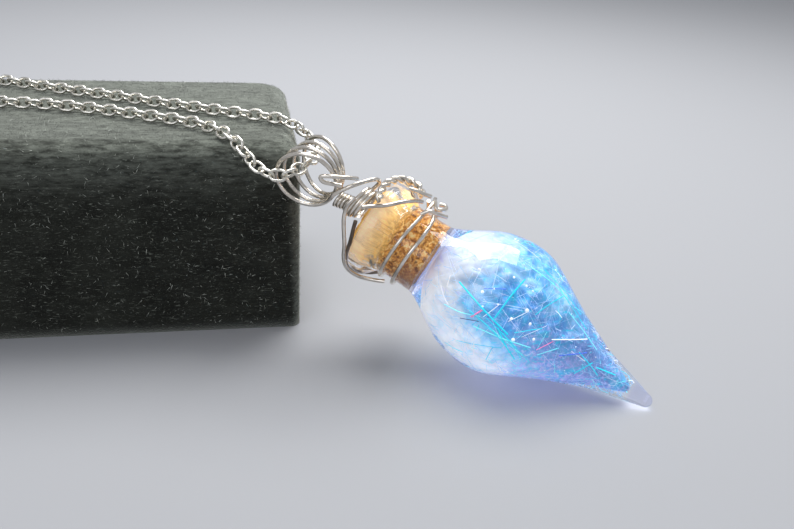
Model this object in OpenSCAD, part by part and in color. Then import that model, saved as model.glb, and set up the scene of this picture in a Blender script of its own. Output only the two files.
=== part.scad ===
// A small stoppered glass bottle on a wound wire bail, worn on a fine cable chain and laid
// against a dark display block. Sizes in millimetres, +Z up.
// The origin is the centre of the block's underside, +X runs along its front edge towards the bottle.

/* [Display block] */
// Length of the block along its front edge
block_l = 74; // [73:0.5:75]
// Depth of the block from front to back
block_w = 46; // [45:0.5:48]
// Height of the block
block_h = 36.5; // [36:0.1:36.5]
// Radius of the four upright edges
block_edge_r = 3.4; // [3.3:0.1:6]
// Radius of the rounding round the top face
block_top_r = 4; // [2:0.1:4]

/* [Bottle] */
// Outer radius of the belly, which rests on the ground
belly_r = 12.5; // [12.3:0.1:12.5]
// Outer radius of the neck
neck_r = 6.8; // [6.6:0.1:6.8]
// Outer radius of the rolled lip
lip_r = 9.3; // [9:0.1:9.3]
// Radius of the small ball that ends the tail
tip_r = 1.25; // [1:0.05:1.4]
// Thickness of the glass
glass_wall = 1; // [0.7:0.1:1.2]
// Radius of the bore at the mouth
bore_r = 6.3; // [6:0.1:6.5]

/* [Stopper and filling] */
// Gap between the stopper and the bore, and between the filling and the glass
fill_gap = 0.08; // [0.05:0.01:0.15]
// How far the stopper stands out of the mouth
stopper_out = 0.9; // [0.3:0.1:2]

/* [Wire] */
// Diameter of the wire of the bail, the collars and the twist
wire_d = 0.65; // [0.5:0.05:0.65]
// Diameter of the thinner wire wound round the bail's stem
wrap_d = 0.55; // [0.45:0.05:0.55]
// Diameter of the wire ends that the stem wrap holds
core_d = 1; // [0.8:0.05:1]
// Number of sides of the wires
wire_sides = 8; // [6:1:10]

/* [Chain] */
// Diameter of a link's wire
link_wire = 0.5; // [0.4:0.05:0.5]
// Length of a link outside
link_l = 3.3; // [3.2:0.05:3.3]
// Width of a link outside
link_w = 2.6; // [2.5:0.05:2.6]
// Play between two links pulled apart
link_play = 0.25; // [0.2:0.01:0.3]

/* [Clasp link] */
// Diameter of the clasp link's wire
clasp_wire = 0.9; // [0.7:0.05:0.9]
// Length of the clasp link outside
clasp_l = 11; // [10.8:0.1:11]
// Width of the clasp link outside
clasp_w = 4.4; // [4.2:0.1:4.4]

/* [Hidden] */
$fn = 48;

// Heights along the bottle's own axis, from the belly's middle, +Z towards the mouth
tip_z = -29.7;
mouth_z = 27.4;
stopper_foot_z = 14.6;
filling_top_z = 13.9;
cavity_end_z = -27;

// Where the bottle lies: the place of the belly's middle in front of the block, the compass direction
// of the mouth, the lean that lets belly and tail both touch the ground, and the turn about its own axis
bottle_right = 33.9;
bottle_front = 16.4;
bottle_heading = 146.2;
bottle_turn = 121.2;
bottle_lean = asin((belly_r - tip_r) / -tip_z);

// Outline of the glass: height along the axis, outer radius
bottle_outline = [
    [-28.4, tip_r + 0.35], [-26, 2.3], [-23.1, 3.05], [-19.9, 4], [-16.7, 5.4], [-13.3, 6.95],
    [-9.8, 8.8], [-6.5, 10.65], [-3.2, belly_r - 0.4], [0, belly_r], [2.8, belly_r - 0.25],
    [5.9, belly_r - 1], [8.75, 10.1], [11.6, 8.35], [14.2, neck_r + 0.25], [16, neck_r],
    [21, neck_r], [22, neck_r + 0.4], [22.9, lip_r - 1.1], [23.8, lip_r - 0.3], [25.2, lip_r],
    [26.4, lip_r - 0.15], [27.1, lip_r - 0.8], [mouth_z, lip_r - 1.7]];
// Bore of the neck: height along the axis, radius
bore_outline = [[12.6, bore_r + 0.3], [14.2, bore_r - 0.4], [16, bore_r - 0.6], [21, bore_r - 0.45],
                [26.9, bore_r], [mouth_z, bore_r + 0.5]];

// The bail: where its turns meet, the way its first turn stands out, and the turns themselves.
// Columns are the lean of a turn out of the first one's plane and its diameter
bail_root = [-33.9, 1.1, 9.4];
bail_out = [-1, 0.02, 0.14];
bail_tilt = 51.4;
bail_turns = [[-11, 10.6], [-1, 10.3], [9, 9.9], [21, 9.8]];
bail_oval = 1.12;
bail_step = 0.72;
bail_ring_count = 20;

// Wires on the bottle. Columns: along the axis towards the tail, across it upwards, out from it
// towards the front, all from the belly's middle
bail_lead = [[-30.4, 2.6, 5.6], [-29.3, 4.9, 6.4], [-28.8, 6.3, 7.8], [-29.4, 6.2, 9.4],
             [-30.8, 4.3, 10.9], [-32.3, 2.2, 11.2]];
bail_tail = [[-34, 1.9, 7.4], [-33.5, 1.9, 7]];
core_route = [[-33, -0.1, 8.3], [-31.4, 0.3, 8.4], [-29.8, 1.2, 8.2], [-28.2, 1.8, 8.2]];
hook_route = [[-31.4, 4.6, 11.8], [-32.6, 3.8, 13.1], [-34, 2.9, 13.9], [-35.6, 2, 14.2],
              [-36.3, 1.4, 14], [-35.6, 1, 13.5], [-34, 1.6, 13.1], [-32.9, 2.1, 12.6]];
twist_route = [[-26.6, 3.6, 10.6], [-27.3, 5.1, 9.4], [-27.5, 6.7, 8.1], [-27, 8, 6.7],
               [-26.2, 8.9, 5.6], [-25.2, 9.4, 4.8], [-24.1, 9.6, 4.4], [-23, 9.5, 4.3],
               [-22.2, 9, 4.6], [-21.8, 8.3, 5]];
lip_route = [[-28.3, 1, 10.9], [-26.8, 2.3, 10], [-25.2, 3.6, 9.25], [-23.4, 5.6, 8.2],
             [-21.8, 7.1, 6.2], [-21, 7.6, 5.2]];
side_route = [[-30.3, 1.6, 11], [-30.6, -0.2, 10.7], [-30.2, -2, 9.9], [-29.6, -3.3, 9.1],
              [-28.8, -4.7, 8.2], [-28, -6.2, 7], [-27.4, -7.9, 5.4], [-26.6, -9.2, 3.5],
              [-25.4, -9.75, 1.6], [-23.6, -9.6, 0.3], [-21.2, -8.7, 0], [-19.6, -7.9, 0]];
under_route = [[-28.5, -1.6, 8], [-28.3, -3, 6.8], [-28, -4.8, 5.1], [-28, -6.7, 2.5],
               [-28, -8.1, 0], [-27, -9.2, -2.2], [-25.4, -9.3, -3.8], [-23.6, -8.4, -4.6],
               [-22.3, -7.4, -4.8]];
collar_r = neck_r + 0.6;
upper_collar_ends = [[[-19.9, 9.5, 1.6], [-19.5, 8.1, 3.6]], [[-20.9, 8.6, 0.2]]];
lower_collar_ends = [[[-18.3, 6.8, 3.4], [-17.7, 5.6, 4.9]], [[-18.4, 7, -2.2], [-18.8, 7.6, 0.6]]];
curl_route = [[-19.3, 8.9, 3.9], [-18.5, 8, 4.4], [-17.5, 8.2, 4.2], [-17.1, 8.9, 3.2],
              [-17.7, 9.3, 2.3], [-18.6, 9, 2.4]];
cut_end_route = [[-19.9, 5.6, 6.1], [-19, 6.8, 6.3], [-17.8, 7.1, 5.8], [-16, 7.7, 4.6]];
shoulder_route = [[-24, 8.2, 6.8], [-22.6, 8.6, 6.5], [-21.2, 8.9, 5.8], [-20.3, 9.2, 5]];
twist_r = 0.39;
twist_pitch = 3.2;

// The chain's way round, from one end of the clasp link to the other. Height of the links' middles
// over the block's top and over the ground
chain_lift = 1.2;
ground_lift = 1.05;
clasp_z = 1.8;
clasp_at = [-122, 17, clasp_z];
clasp_gap = 4.5;
// Ground loop behind and in front of the clasp link: x, y, height of the links' middles
ground_back = [[-122, 25, clasp_z], [-120, 31.5, 1.6], [-113, 37, 1.25], [-103, 40, ground_lift],
               [-91, 40.5, ground_lift], [-79, 38.5, ground_lift], [-67, 34, ground_lift],
               [-56, 28.5, ground_lift], [-47.5, 23.6, ground_lift]];
ground_front = [[-47.5, -2.6, ground_lift], [-56, -7, ground_lift], [-67, -11.5, ground_lift],
                [-79, -14.5, ground_lift], [-91, -15.3, ground_lift], [-103, -13.5, ground_lift],
                [-113, -9, 1.25], [-120, -1.5, 1.6], [-122, 5, clasp_z], [-122, 8.5, clasp_z]];
// Drop over the block's end: distance out from the end face, distance below the top, sideways drift
drop = [[-1.4, -0.6, 0], [0.6, 1.3, 0], [1.3, 5.5, 0], [1.3, 12.5, 0], [1.3, 21.5, 0],
        [1.4, 27.5, 0.15], [2.6, 31.9, 0.55], [5.6, 34.7, 1.7]];
// The two strands across the top: x, y
strand_back = [[-32, 18.6], [-20, 14.5], [-8.6, 9], [2.5, 4], [11, -0.3], [18.6, -3.8],
               [24.5, -6.6], [30.4, -9]];
strand_front = [[23.4, -18.9], [20.2, -14.9], [16.2, -12.2], [10.3, -9.4], [3.7, -6.5],
                [-2.2, -4.2], [-9.4, -2.3], [-16.5, -1.2], [-26, 0.4], [-32, 1.2]];
strand_back_y = 19;
strand_front_y = 1.5;
// Over the front corner and through the bail: x, y, z
bail_pass = [[34.2, -11.3, 37.6], [37, -14.4, 37.1], [38.6, -18.2, 36.5], [39.5, -21.8, 35.4],
             [38.2, -25, 34.4], [35.8, -27.4, 33.7], [33.4, -28.8, 33.3], [31, -28.4, 33.4],
             [29.1, -26.8, 34.1], [27.4, -24.5, 35.4], [25.8, -22.2, 36.8]];

// Vectors and curves
function unit(v) = v / norm(v);
function flat(lists) = [for (list = lists) for (item = list) item];
function clamp(x, low, high) = min(max(x, low), high);
// Where a smooth curve through p0, p1, p2 and p3 is between p1 and p2
function between(p0, p1, p2, p3, f) = 0.5 * (2 * p1 + (p2 - p0) * f
    + (2 * p0 - 5 * p1 + 4 * p2 - p3) * f * f + (3 * p1 - p0 - 3 * p2 + p3) * f * f * f);
// A smooth curve through all points of a route, with so many steps from each to the next
function smooth(route, steps) = let(
        last = len(route) - 1,
        p = concat([2 * route[0] - route[1]], route, [2 * route[last] - route[last - 1]]))
    concat([for (i = [1:last]) for (j = [0:steps - 1])
        between(p[i - 1], p[i], p[i + 1], p[i + 2], j / steps)], [route[last]]);
function tangents(path) = let(last = len(path) - 1)
    [for (i = [0:last]) unit(path[min(i + 1, last)] - path[max(i - 1, 0)])];
function square_to(v, t) = unit(v - (v * t) * t);
// A direction across the path, carried along it without twisting
function carried(t, first) =
    [for (i = 0, v = square_to(first, t[0]); i < len(t);
          i = i + 1, v = i < len(t) ? square_to(v, t[i]) : v) v];
// Distance along the path to each of its points
function travelled(path) =
    [for (i = 0, s = 0; i < len(path);
          i = i + 1, s = i < len(path) ? s + norm(path[i] - path[i - 1]) : s) s];

// A round wire along a path
module wire(path, d, sides = wire_sides) {
    t = tangents(path);
    across = carried(t, abs(t[0].z) < 0.9 ? [0, 0, 1] : [1, 0, 0]);
    count = len(path);
    rings = [for (i = [0:count - 1]) for (j = [0:sides - 1])
        path[i] + d / 2 * (cos(360 * j / sides) * across[i] + sin(360 * j / sides) * cross(t[i], across[i]))];
    skin = [for (i = [0:count - 2]) for (j = [0:sides - 1])
        let(k = (j + 1) % sides)
        [i * sides + j, (i + 1) * sides + j, (i + 1) * sides + k, i * sides + k]];
    start = [for (j = [0:sides - 1]) j];
    end = [for (j = [0:sides - 1]) count * sides - 1 - j];
    polyhedron(rings, concat([start, end], skin));
}

// Puts a thing drawn on the bottle's own axis where the bottle lies
module on_bottle() {
    translate([block_l / 2 + bottle_right, -block_w / 2 - bottle_front, belly_r])
        rotate([0, 90 - bottle_lean, bottle_heading])
            rotate([0, 0, bottle_turn])
                children();
}
// Turns the columns of a wire's route into the bottle's own X, Y and Z
function own(route) = [for (p = route) [p[2], p[1], -p[0]]];

// Block: its outline from above, cut to its rounded outlines from the front and from the end
module rounded_outline(l, w, r) {
    for (x = [-1, 1], y = [-1, 1]) translate([x * (l / 2 - r), y * (w / 2 - r)]) circle(r);
    square([l - 2 * r, w], center = true);
    square([l, w - 2 * r], center = true);
}
// An upright outline with only its two upper corners rounded
module topped_outline(l, h, r) {
    for (x = [-1, 1]) translate([x * (l / 2 - r), h - r]) circle(r);
    translate([-l / 2, 0]) square([l, h - r]);
    translate([r - l / 2, 0]) square([l - 2 * r, h]);
}
module display_block() {
    color([0.06, 0.06, 0.065])
    intersection() {
        linear_extrude(block_h) rounded_outline(block_l, block_w, block_edge_r);
        translate([0, block_w / 2, 0]) rotate([90, 0, 0])
            linear_extrude(block_w) topped_outline(block_l, block_h, block_top_r);
        translate([-block_l / 2, 0, 0]) rotate([90, 0, 90])
            linear_extrude(block_l) topped_outline(block_w, block_h, block_top_r);
    }
}

// Smooth outlines of the glass and of the hollow in it, as radius and height
glass_curve = smooth(bottle_outline, 3);
function inner_r(z) = lookup(z, glass_curve) - glass_wall;
hollow_curve = smooth(concat(
    [for (z = [-25:2.5:10]) [z, inner_r(z)]], bore_outline), 2);
function turned(curve) = [for (p = curve) [p[1], p[0]]];
// The hollow's outline between two heights, drawn in by the gap that what fills it keeps
function filled(low, high) = [for (p = hollow_curve) if (p[0] > low && p[0] < high) [p[1] - fill_gap, p[0]]];
function filled_r(z) = lookup(z, hollow_curve) - fill_gap;

module glass_bottle() {
    tip = concat([[0, tip_z - tip_r]], [for (a = [-75:15:0]) [tip_r * cos(a), tip_z + tip_r * sin(a)]]);
    color([0.85, 0.88, 0.92, 0.5])
    on_bottle()
        rotate_extrude()
            polygon(concat(tip, turned(glass_curve),
                [for (i = [len(hollow_curve) - 1:-1:0]) turned(hollow_curve)[i]], [[0, cavity_end_z]]));
}

module cork_stopper() {
    top = mouth_z + stopper_out;
    chamfer = 0.4;
    foot_side_z = stopper_foot_z + chamfer;
    color([0.78, 0.52, 0.28])
    on_bottle()
        rotate_extrude()
            polygon(concat(
                [[0, stopper_foot_z], [filled_r(foot_side_z) - chamfer, stopper_foot_z],
                 [filled_r(foot_side_z), foot_side_z]],
                filled(foot_side_z + 0.1, mouth_z - 0.6),
                [[bore_r - fill_gap, top - chamfer], [bore_r - fill_gap - chamfer, top], [0, top]]));
}

module fibre_filling() {
    color([0.78, 0.80, 0.93])
    on_bottle()
        rotate_extrude()
            polygon(concat([[0, cavity_end_z + 1]], filled(cavity_end_z, filling_top_z - 0.2),
                [[filled_r(filling_top_z) - 0.1, filling_top_z], [0, filling_top_z]]));
}

// Turns of the bail, which all meet at its root and fan out from it
bail_e1 = unit(bail_out);
bail_e2 = square_to([0, cos(bail_tilt), sin(bail_tilt)], bail_e1);
bail_axis = cross(bail_e1, bail_e2);
function bail_turn_value(turn, column) =
    lookup(turn - 0.5, [for (i = [0:len(bail_turns) - 1]) [i, bail_turns[i][column]]]);
function bail_point(turn) = let(
        lean = bail_turn_value(turn, 0),
        d = bail_turn_value(turn, 1),
        out = cos(lean) * bail_e1 + sin(lean) * bail_axis)
    bail_root + bail_axis * bail_step * (turn - len(bail_turns) / 2)
        + out * d / 2 * (1 - cos(360 * turn)) - bail_e2 * bail_oval * d / 2 * sin(360 * turn);
bail_path = [for (k = [0:bail_ring_count * len(bail_turns)]) bail_point(k / bail_ring_count)];
bail_last = len(bail_path) - 1;

module bail_coil() {
    lead = smooth(concat(bail_lead, [bail_path[0], bail_path[1]]), 6);
    tail = smooth(concat([bail_path[bail_last]], bail_tail), 4);
    color([0.80, 0.80, 0.81])
    on_bottle()
        wire(own(concat([for (i = [0:len(lead) - 8]) lead[i]],
                        [for (i = [0:bail_last - 1]) bail_path[i]], tail)), wire_d);
}

// A winding: from and to are its first and last centre, each with the two radii across it
function winding(from, to, turns, radii_from, radii_to, start, skew) = let(per_turn = 14)
    [for (k = [0:floor(turns * per_turn)]) let(
            f = k / (turns * per_turn),
            a = 360 * k / per_turn + start,
            centre = from + (to - from) * f,
            radii = radii_from + (radii_to - radii_from) * f)
        centre + [skew * sin(a), radii[0] * sin(a), radii[1] * cos(a)]];

module stem_core() {
    color([0.55, 0.55, 0.56]) on_bottle() wire(own(smooth(core_route, 4)), core_d);
}
module stem_wrap() {
    color([0.80, 0.80, 0.81])
    on_bottle()
        wire(own(winding([-33.35, -0.1, 8.3], [-30.9, 0.4, 8.4], 4, [1.25, 1.25], [1.25, 1.25], 115, 0.05)),
             wrap_d, 6);
}
module neck_wrap() {
    color([0.80, 0.80, 0.81])
    on_bottle()
        wire(own(winding([-30.4, 1.3, 8.2], [-28.1, 1.9, 8.2], 3.2, [3, 1.8], [2.5, 1.8], 206, 0.35)), wire_d);
}
module hook_wire() {
    color([0.80, 0.80, 0.81]) on_bottle() wire(own(smooth(hook_route, 5)), wire_d);
}

// Two wires twisted round each other along a route
module twisted_wire() {
    middle = smooth(twist_route, 8);
    t = tangents(middle);
    across = carried(t, [0, 0, 1]);
    s = travelled(middle);
    color([0.80, 0.80, 0.81])
    on_bottle()
        for (side = [-1, 1])
            wire(own([for (i = [0:len(middle) - 1]) let(a = 360 * s[i] / twist_pitch)
                middle[i] + side * twist_r * (cos(a) * across[i] + sin(a) * cross(t[i], across[i]))]), wire_d);
}
module lip_wire() {
    color([0.80, 0.80, 0.81]) on_bottle() wire(own(smooth(lip_route, 5)), wire_d);
}
module side_wire() {
    color([0.80, 0.80, 0.81]) on_bottle() wire(own(smooth(side_route, 5)), wire_d);
}
module under_wire() {
    color([0.45, 0.45, 0.46]) on_bottle() wire(own(smooth(under_route, 5)), wire_d);
}

// A collar round the neck: its arc from one angle to another, with the ends that stand off it.
// It starts at one height along the axis, and sinks and drifts by so much on its way round
function collar(ends, from, to, start, sink, drift) = smooth(concat(ends[0],
    [for (i = [0:8]) let(f = i / 8, a = from + (to - from) * f)
        [start - sink * sin(180 * f) - drift * f, collar_r * cos(a), collar_r * sin(a)]],
    ends[1]), 4);
module collar_wires() {
    color([0.80, 0.80, 0.81])
    on_bottle() {
        wire(own(collar(upper_collar_ends, 50, 336, -19.8, 0.9, 0.5)), wire_d);
        wire(own(collar(lower_collar_ends, 68, 318, -17.4, 0.5, 0.9)), wire_d);
    }
}
module wire_curls() {
    color([0.80, 0.80, 0.81])
    on_bottle() {
        wire(own(smooth(curl_route, 5)), wire_d);
        wire(own(smooth(cut_end_route, 4)), wire_d);
        wire(own(smooth(shoulder_route, 4)), wire_d);
    }
}

// A flat oval link in the XY plane, its long way along X
module oval_link(l, w, d) {
    middle_r = (w - d) / 2;
    half = (l - w) / 2;
    for (side = [0, 1]) {
        rotate([0, 0, 180 * side]) {
            translate([half, 0, 0]) rotate([0, 0, -90])
                rotate_extrude(angle = 180) translate([middle_r, 0]) circle(d = d, $fn = 24);
            translate([-half, middle_r, 0]) rotate([0, 90, 0]) cylinder(h = 2 * half, d = d, $fn = 24);
        }
    }
}

// The drop over the block's end, and the whole way round
function drop_route(y, sign) = [for (row = drop)
    [-block_l / 2 - row[0], y + sign * row[2], block_h - row[1]]];
function backwards(list) = [for (i = [len(list) - 1:-1:0]) list[i]];
function on_top(list) = [for (p = list) [p[0], p[1], block_h + chain_lift]];
chain_route = flat([
    [clasp_at + [0, clasp_gap, 0]], ground_back, backwards(drop_route(strand_back_y, 1)),
    on_top(strand_back), bail_pass, on_top(strand_front), drop_route(strand_front_y, -1),
    ground_front, [clasp_at - [0, clasp_gap, 0]]]);
chain_path = smooth(chain_route, 12);
chain_s = travelled(chain_path);
chain_length = chain_s[len(chain_s) - 1];
link_count = 2 * floor(chain_length / (link_l - 2 * link_wire - link_play) / 2) + 1;
link_pitch = chain_length / link_count;
function along_chain(s) = [for (k = [0:2])
    lookup(s, [for (i = [0:len(chain_s) - 1]) [chain_s[i], chain_path[i][k]]])];
link_at = [for (i = [0:link_count - 1]) along_chain((i + 0.5) * link_pitch)];
link_way = tangents(link_at);
rest_inset = block_top_r + 0.5;
// The way out of what a link rests on: the block's nearest face, or the ground
function rest_way(p) = let(
        core = [clamp(p.x, rest_inset - block_l / 2, block_l / 2 - rest_inset),
                clamp(p.y, rest_inset - block_w / 2, block_w / 2 - rest_inset),
                min(p.z, block_h - block_top_r)],
        low = clamp((9 - p.z) / 6, 0, 1))
    unit(p - core) * (1 - low) + [0, 0, 1] * low;

// Every other link is rolled a quarter turn, each at half a right angle to what it rests on
module chain_link(i) {
    t = link_way[i];
    up = square_to(rest_way(link_at[i]), t);
    roll = i % 2 == 0 ? -45 : 45;
    u = cos(roll) * cross(up, t) + sin(roll) * up;
    v = cross(t, u);
    p = link_at[i];
    multmatrix([[t.x, u.x, v.x, p.x], [t.y, u.y, v.y, p.y], [t.z, u.z, v.z, p.z]])
        oval_link(link_l, link_w, link_wire);
}
middle_link = floor(link_count / 2);
module chain_back() {
    color([0.76, 0.76, 0.76]) for (i = [0:middle_link]) chain_link(i);
}
module chain_front() {
    color([0.76, 0.76, 0.76]) for (i = [middle_link + 1:link_count - 1]) chain_link(i);
}
module clasp_link() {
    color([0.76, 0.76, 0.76])
    translate(clasp_at) rotate([0, 0, 90]) rotate([45, 0, 0])
        oval_link(clasp_l, clasp_w, clasp_wire);
}

display_block();
glass_bottle();
cork_stopper();
fibre_filling();
bail_coil();
stem_core();
stem_wrap();
neck_wrap();
hook_wire();
twisted_wire();
lip_wire();
side_wire();
under_wire();
collar_wires();
wire_curls();
chain_back();
chain_front();
clasp_link();
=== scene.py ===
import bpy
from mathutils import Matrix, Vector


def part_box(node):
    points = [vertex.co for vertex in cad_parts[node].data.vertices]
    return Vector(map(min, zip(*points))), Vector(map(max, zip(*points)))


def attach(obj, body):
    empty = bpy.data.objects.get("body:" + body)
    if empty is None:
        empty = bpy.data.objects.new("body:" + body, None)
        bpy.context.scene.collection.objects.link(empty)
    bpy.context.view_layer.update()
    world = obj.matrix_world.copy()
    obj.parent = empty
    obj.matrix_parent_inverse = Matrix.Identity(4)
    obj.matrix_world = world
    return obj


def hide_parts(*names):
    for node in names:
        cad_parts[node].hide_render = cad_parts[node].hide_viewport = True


bl_info = {
    "name": "Bottle pendant on a display block",
    "version": (1, 0, 0),
    "blender": (4, 5, 0),
    "location": "View3D > Sidebar > Pendant",
    "description": "Builds a stoppered glass bottle pendant on its wire bail and cable chain",
    "category": "Add Mesh",
}

import math
import random

import bmesh
import bpy
import numpy as np
from bpy.props import FloatProperty, FloatVectorProperty, IntProperty
from mathutils import Matrix, Vector, noise

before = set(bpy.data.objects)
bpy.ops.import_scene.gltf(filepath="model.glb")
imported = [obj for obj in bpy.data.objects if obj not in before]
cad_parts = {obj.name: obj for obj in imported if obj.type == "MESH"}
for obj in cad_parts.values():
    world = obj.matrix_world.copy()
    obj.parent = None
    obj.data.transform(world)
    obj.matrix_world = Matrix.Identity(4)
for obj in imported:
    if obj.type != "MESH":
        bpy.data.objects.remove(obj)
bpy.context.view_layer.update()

MM = 0.001
BLOCK_LOW, BLOCK_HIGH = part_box("display_block")
PILE_SEED = 3

# Bottle: heights along its own axis in millimetres, +Z towards the mouth, from the belly's middle
BELLY_R = 12.5
TIP_R = 1.25
TIP_Z = -29.7
MOUTH_Z = 27.4
FILLING_TOP_Z = 13.9
STOPPER_FOOT_Z = 14.6
STOPPER_TOP_Z = 28.3
CAVITY_END_Z = -27.0
GLASS_WALL = 1.0
FILL_GAP = 0.08
SHOULDER_Z = 13.4
LIP_ROUND = 0.8
LIP_FOOT_Z = 21.5

# Outline of the glass and bore of the neck: height along the axis, radius
OUTLINE = [(-28.4, 1.6), (-26, 2.3), (-23.1, 3.05), (-19.9, 4), (-16.7, 5.4), (-13.3, 6.95),
           (-9.8, 8.8), (-6.5, 10.65), (-3.2, 12.1), (0, 12.5), (2.8, 12.25), (5.9, 11.5),
           (8.75, 10.1), (11.6, 8.35), (14.2, 7.05), (16, 6.8), (21, 6.8), (22, 7.2), (22.9, 8.2),
           (23.8, 9), (25.2, 9.3), (26.4, 9.15), (27.1, 8.5), (27.4, 7.6)]
HOLLOW_ROWS = np.arange(-25, 10.1, 2.5)  # heights where the hollow follows the glass
BORE = [(12.6, 6.6), (14.2, 5.9), (16, 5.7), (21, 5.85), (26.9, 6.3), (27.4, 6.8)]

# Where the bottle lies: belly's middle from the block's front right corner, compass direction of
# the mouth, and the turn about its own axis
BOTTLE_RIGHT, BOTTLE_FRONT = 33.9, 16.4
BOTTLE_HEADING, BOTTLE_TURN = 146.2, 121.2
BOTTLE_LEAN = math.degrees(math.asin((BELLY_R - TIP_R) / -TIP_Z))

# Wire routes on the bottle in millimetres: along the axis towards the tail, across it upwards, out
# from it
WIRE_D, WRAP_D, CORE_D = 0.72, 0.6, 1.0
BAIL_ROOT = (-33.9, 1.1, 9.4)
BAIL_OUT = (-1, 0.02, 0.14)
BAIL_TILT = 51.4
BAIL_TURNS = [(-11, 10.6), (-1, 10.3), (9, 9.9), (21, 9.8)]  # lean of a turn in degrees, diameter
BAIL_OVAL, BAIL_STEP, BAIL_RINGS = 1.12, 0.72, 28
BAIL_LEAD = [(-30.4, 2.6, 5.6), (-29.3, 4.9, 6.4), (-28.8, 6.3, 7.8), (-29.4, 6.2, 9.4),
             (-30.8, 4.3, 10.9), (-32.3, 2.2, 11.2)]
BAIL_TAIL = [(-34, 1.9, 7.4), (-33.5, 1.9, 7)]
CORE = [(-33, -0.1, 8.3), (-31.4, 0.3, 8.4), (-29.8, 1.2, 8.2), (-28.2, 1.8, 8.2)]
HOOK = [(-31.4, 4.6, 11.8), (-32.6, 3.8, 13.1), (-34, 2.9, 13.9), (-35.6, 2, 14.2),
        (-36.3, 1.4, 14), (-35.6, 1, 13.5), (-34, 1.6, 13.1), (-32.9, 2.1, 12.6)]
TWIST = [(-26.6, 3.6, 10.6), (-27.3, 5.1, 9.4), (-27.5, 6.7, 8.1), (-27, 8, 6.7), (-26.2, 8.9, 5.6),
         (-25.2, 9.4, 4.8), (-24.1, 9.6, 4.4), (-23, 9.5, 4.3), (-22.2, 9, 4.6), (-21.8, 8.3, 5)]
TWIST_R, TWIST_PITCH = 0.39, 3.2
LIP = [(-28.3, 1, 10.9), (-26.8, 2.3, 10), (-25.2, 3.6, 9.25), (-23.4, 5.6, 8.2),
       (-21.8, 7.1, 6.2), (-21, 7.6, 5.2)]
SIDE = [(-30.3, 1.6, 11), (-30.6, -0.2, 10.7), (-30.2, -2, 9.9), (-29.6, -3.3, 9.1),
        (-28.8, -4.7, 8.2), (-28, -6.2, 7), (-27.4, -7.9, 5.4), (-26.6, -9.2, 3.5),
        (-25.4, -9.75, 1.6), (-23.6, -9.6, 0.3), (-21.2, -8.7, 0), (-19.6, -7.9, 0)]
UNDER = [(-28.5, -1.6, 8), (-28.3, -3, 6.8), (-28, -4.8, 5.1), (-28, -6.7, 2.5), (-28, -8.1, 0),
         (-27, -9.2, -2.2), (-25.4, -9.3, -3.8), (-23.6, -8.4, -4.6), (-22.3, -7.4, -4.8)]
COLLAR_R = 7.4
UPPER_ENDS = ([(-19.9, 9.5, 1.6), (-19.5, 8.1, 3.6)], [(-20.9, 8.6, 0.2)])
LOWER_ENDS = ([(-18.3, 6.8, 3.4), (-17.7, 5.6, 4.9)], [(-18.4, 7, -2.2), (-18.8, 7.6, 0.6)])
CURL = [(-19.3, 8.9, 3.9), (-18.5, 8, 4.4), (-17.5, 8.2, 4.2), (-17.1, 8.9, 3.2),
        (-17.7, 9.3, 2.3), (-18.6, 9, 2.4)]
CUT_END = [(-19.9, 5.6, 6.1), (-19, 6.8, 6.3), (-17.8, 7.1, 5.8), (-16, 7.7, 4.6)]
SHOULDER = [(-24, 8.2, 6.8), (-22.6, 8.6, 6.5), (-21.2, 8.9, 5.8), (-20.3, 9.2, 5)]

# Windings: first and last centre, turns, radii across and outwards at each end, start in degrees, lean
STEM_WRAP = ((-33.35, -0.1, 8.3), (-30.9, 0.4, 8.4), 4, (1.25, 1.25), (1.25, 1.25), 115, 0.05)
NECK_WRAP = ((-30.4, 1.3, 8.2), (-28.1, 1.9, 8.2), 3.2, (3, 1.8), (2.5, 1.8), 206, 0.35)

# Collars: both ends, first and last angle in degrees, place along the neck, sag in the middle, drift
UPPER_COLLAR = (UPPER_ENDS, 50, 336, -19.8, 0.9, 0.5)
LOWER_COLLAR = (LOWER_ENDS, 68, 318, -17.4, 0.5, 0.9)

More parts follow.
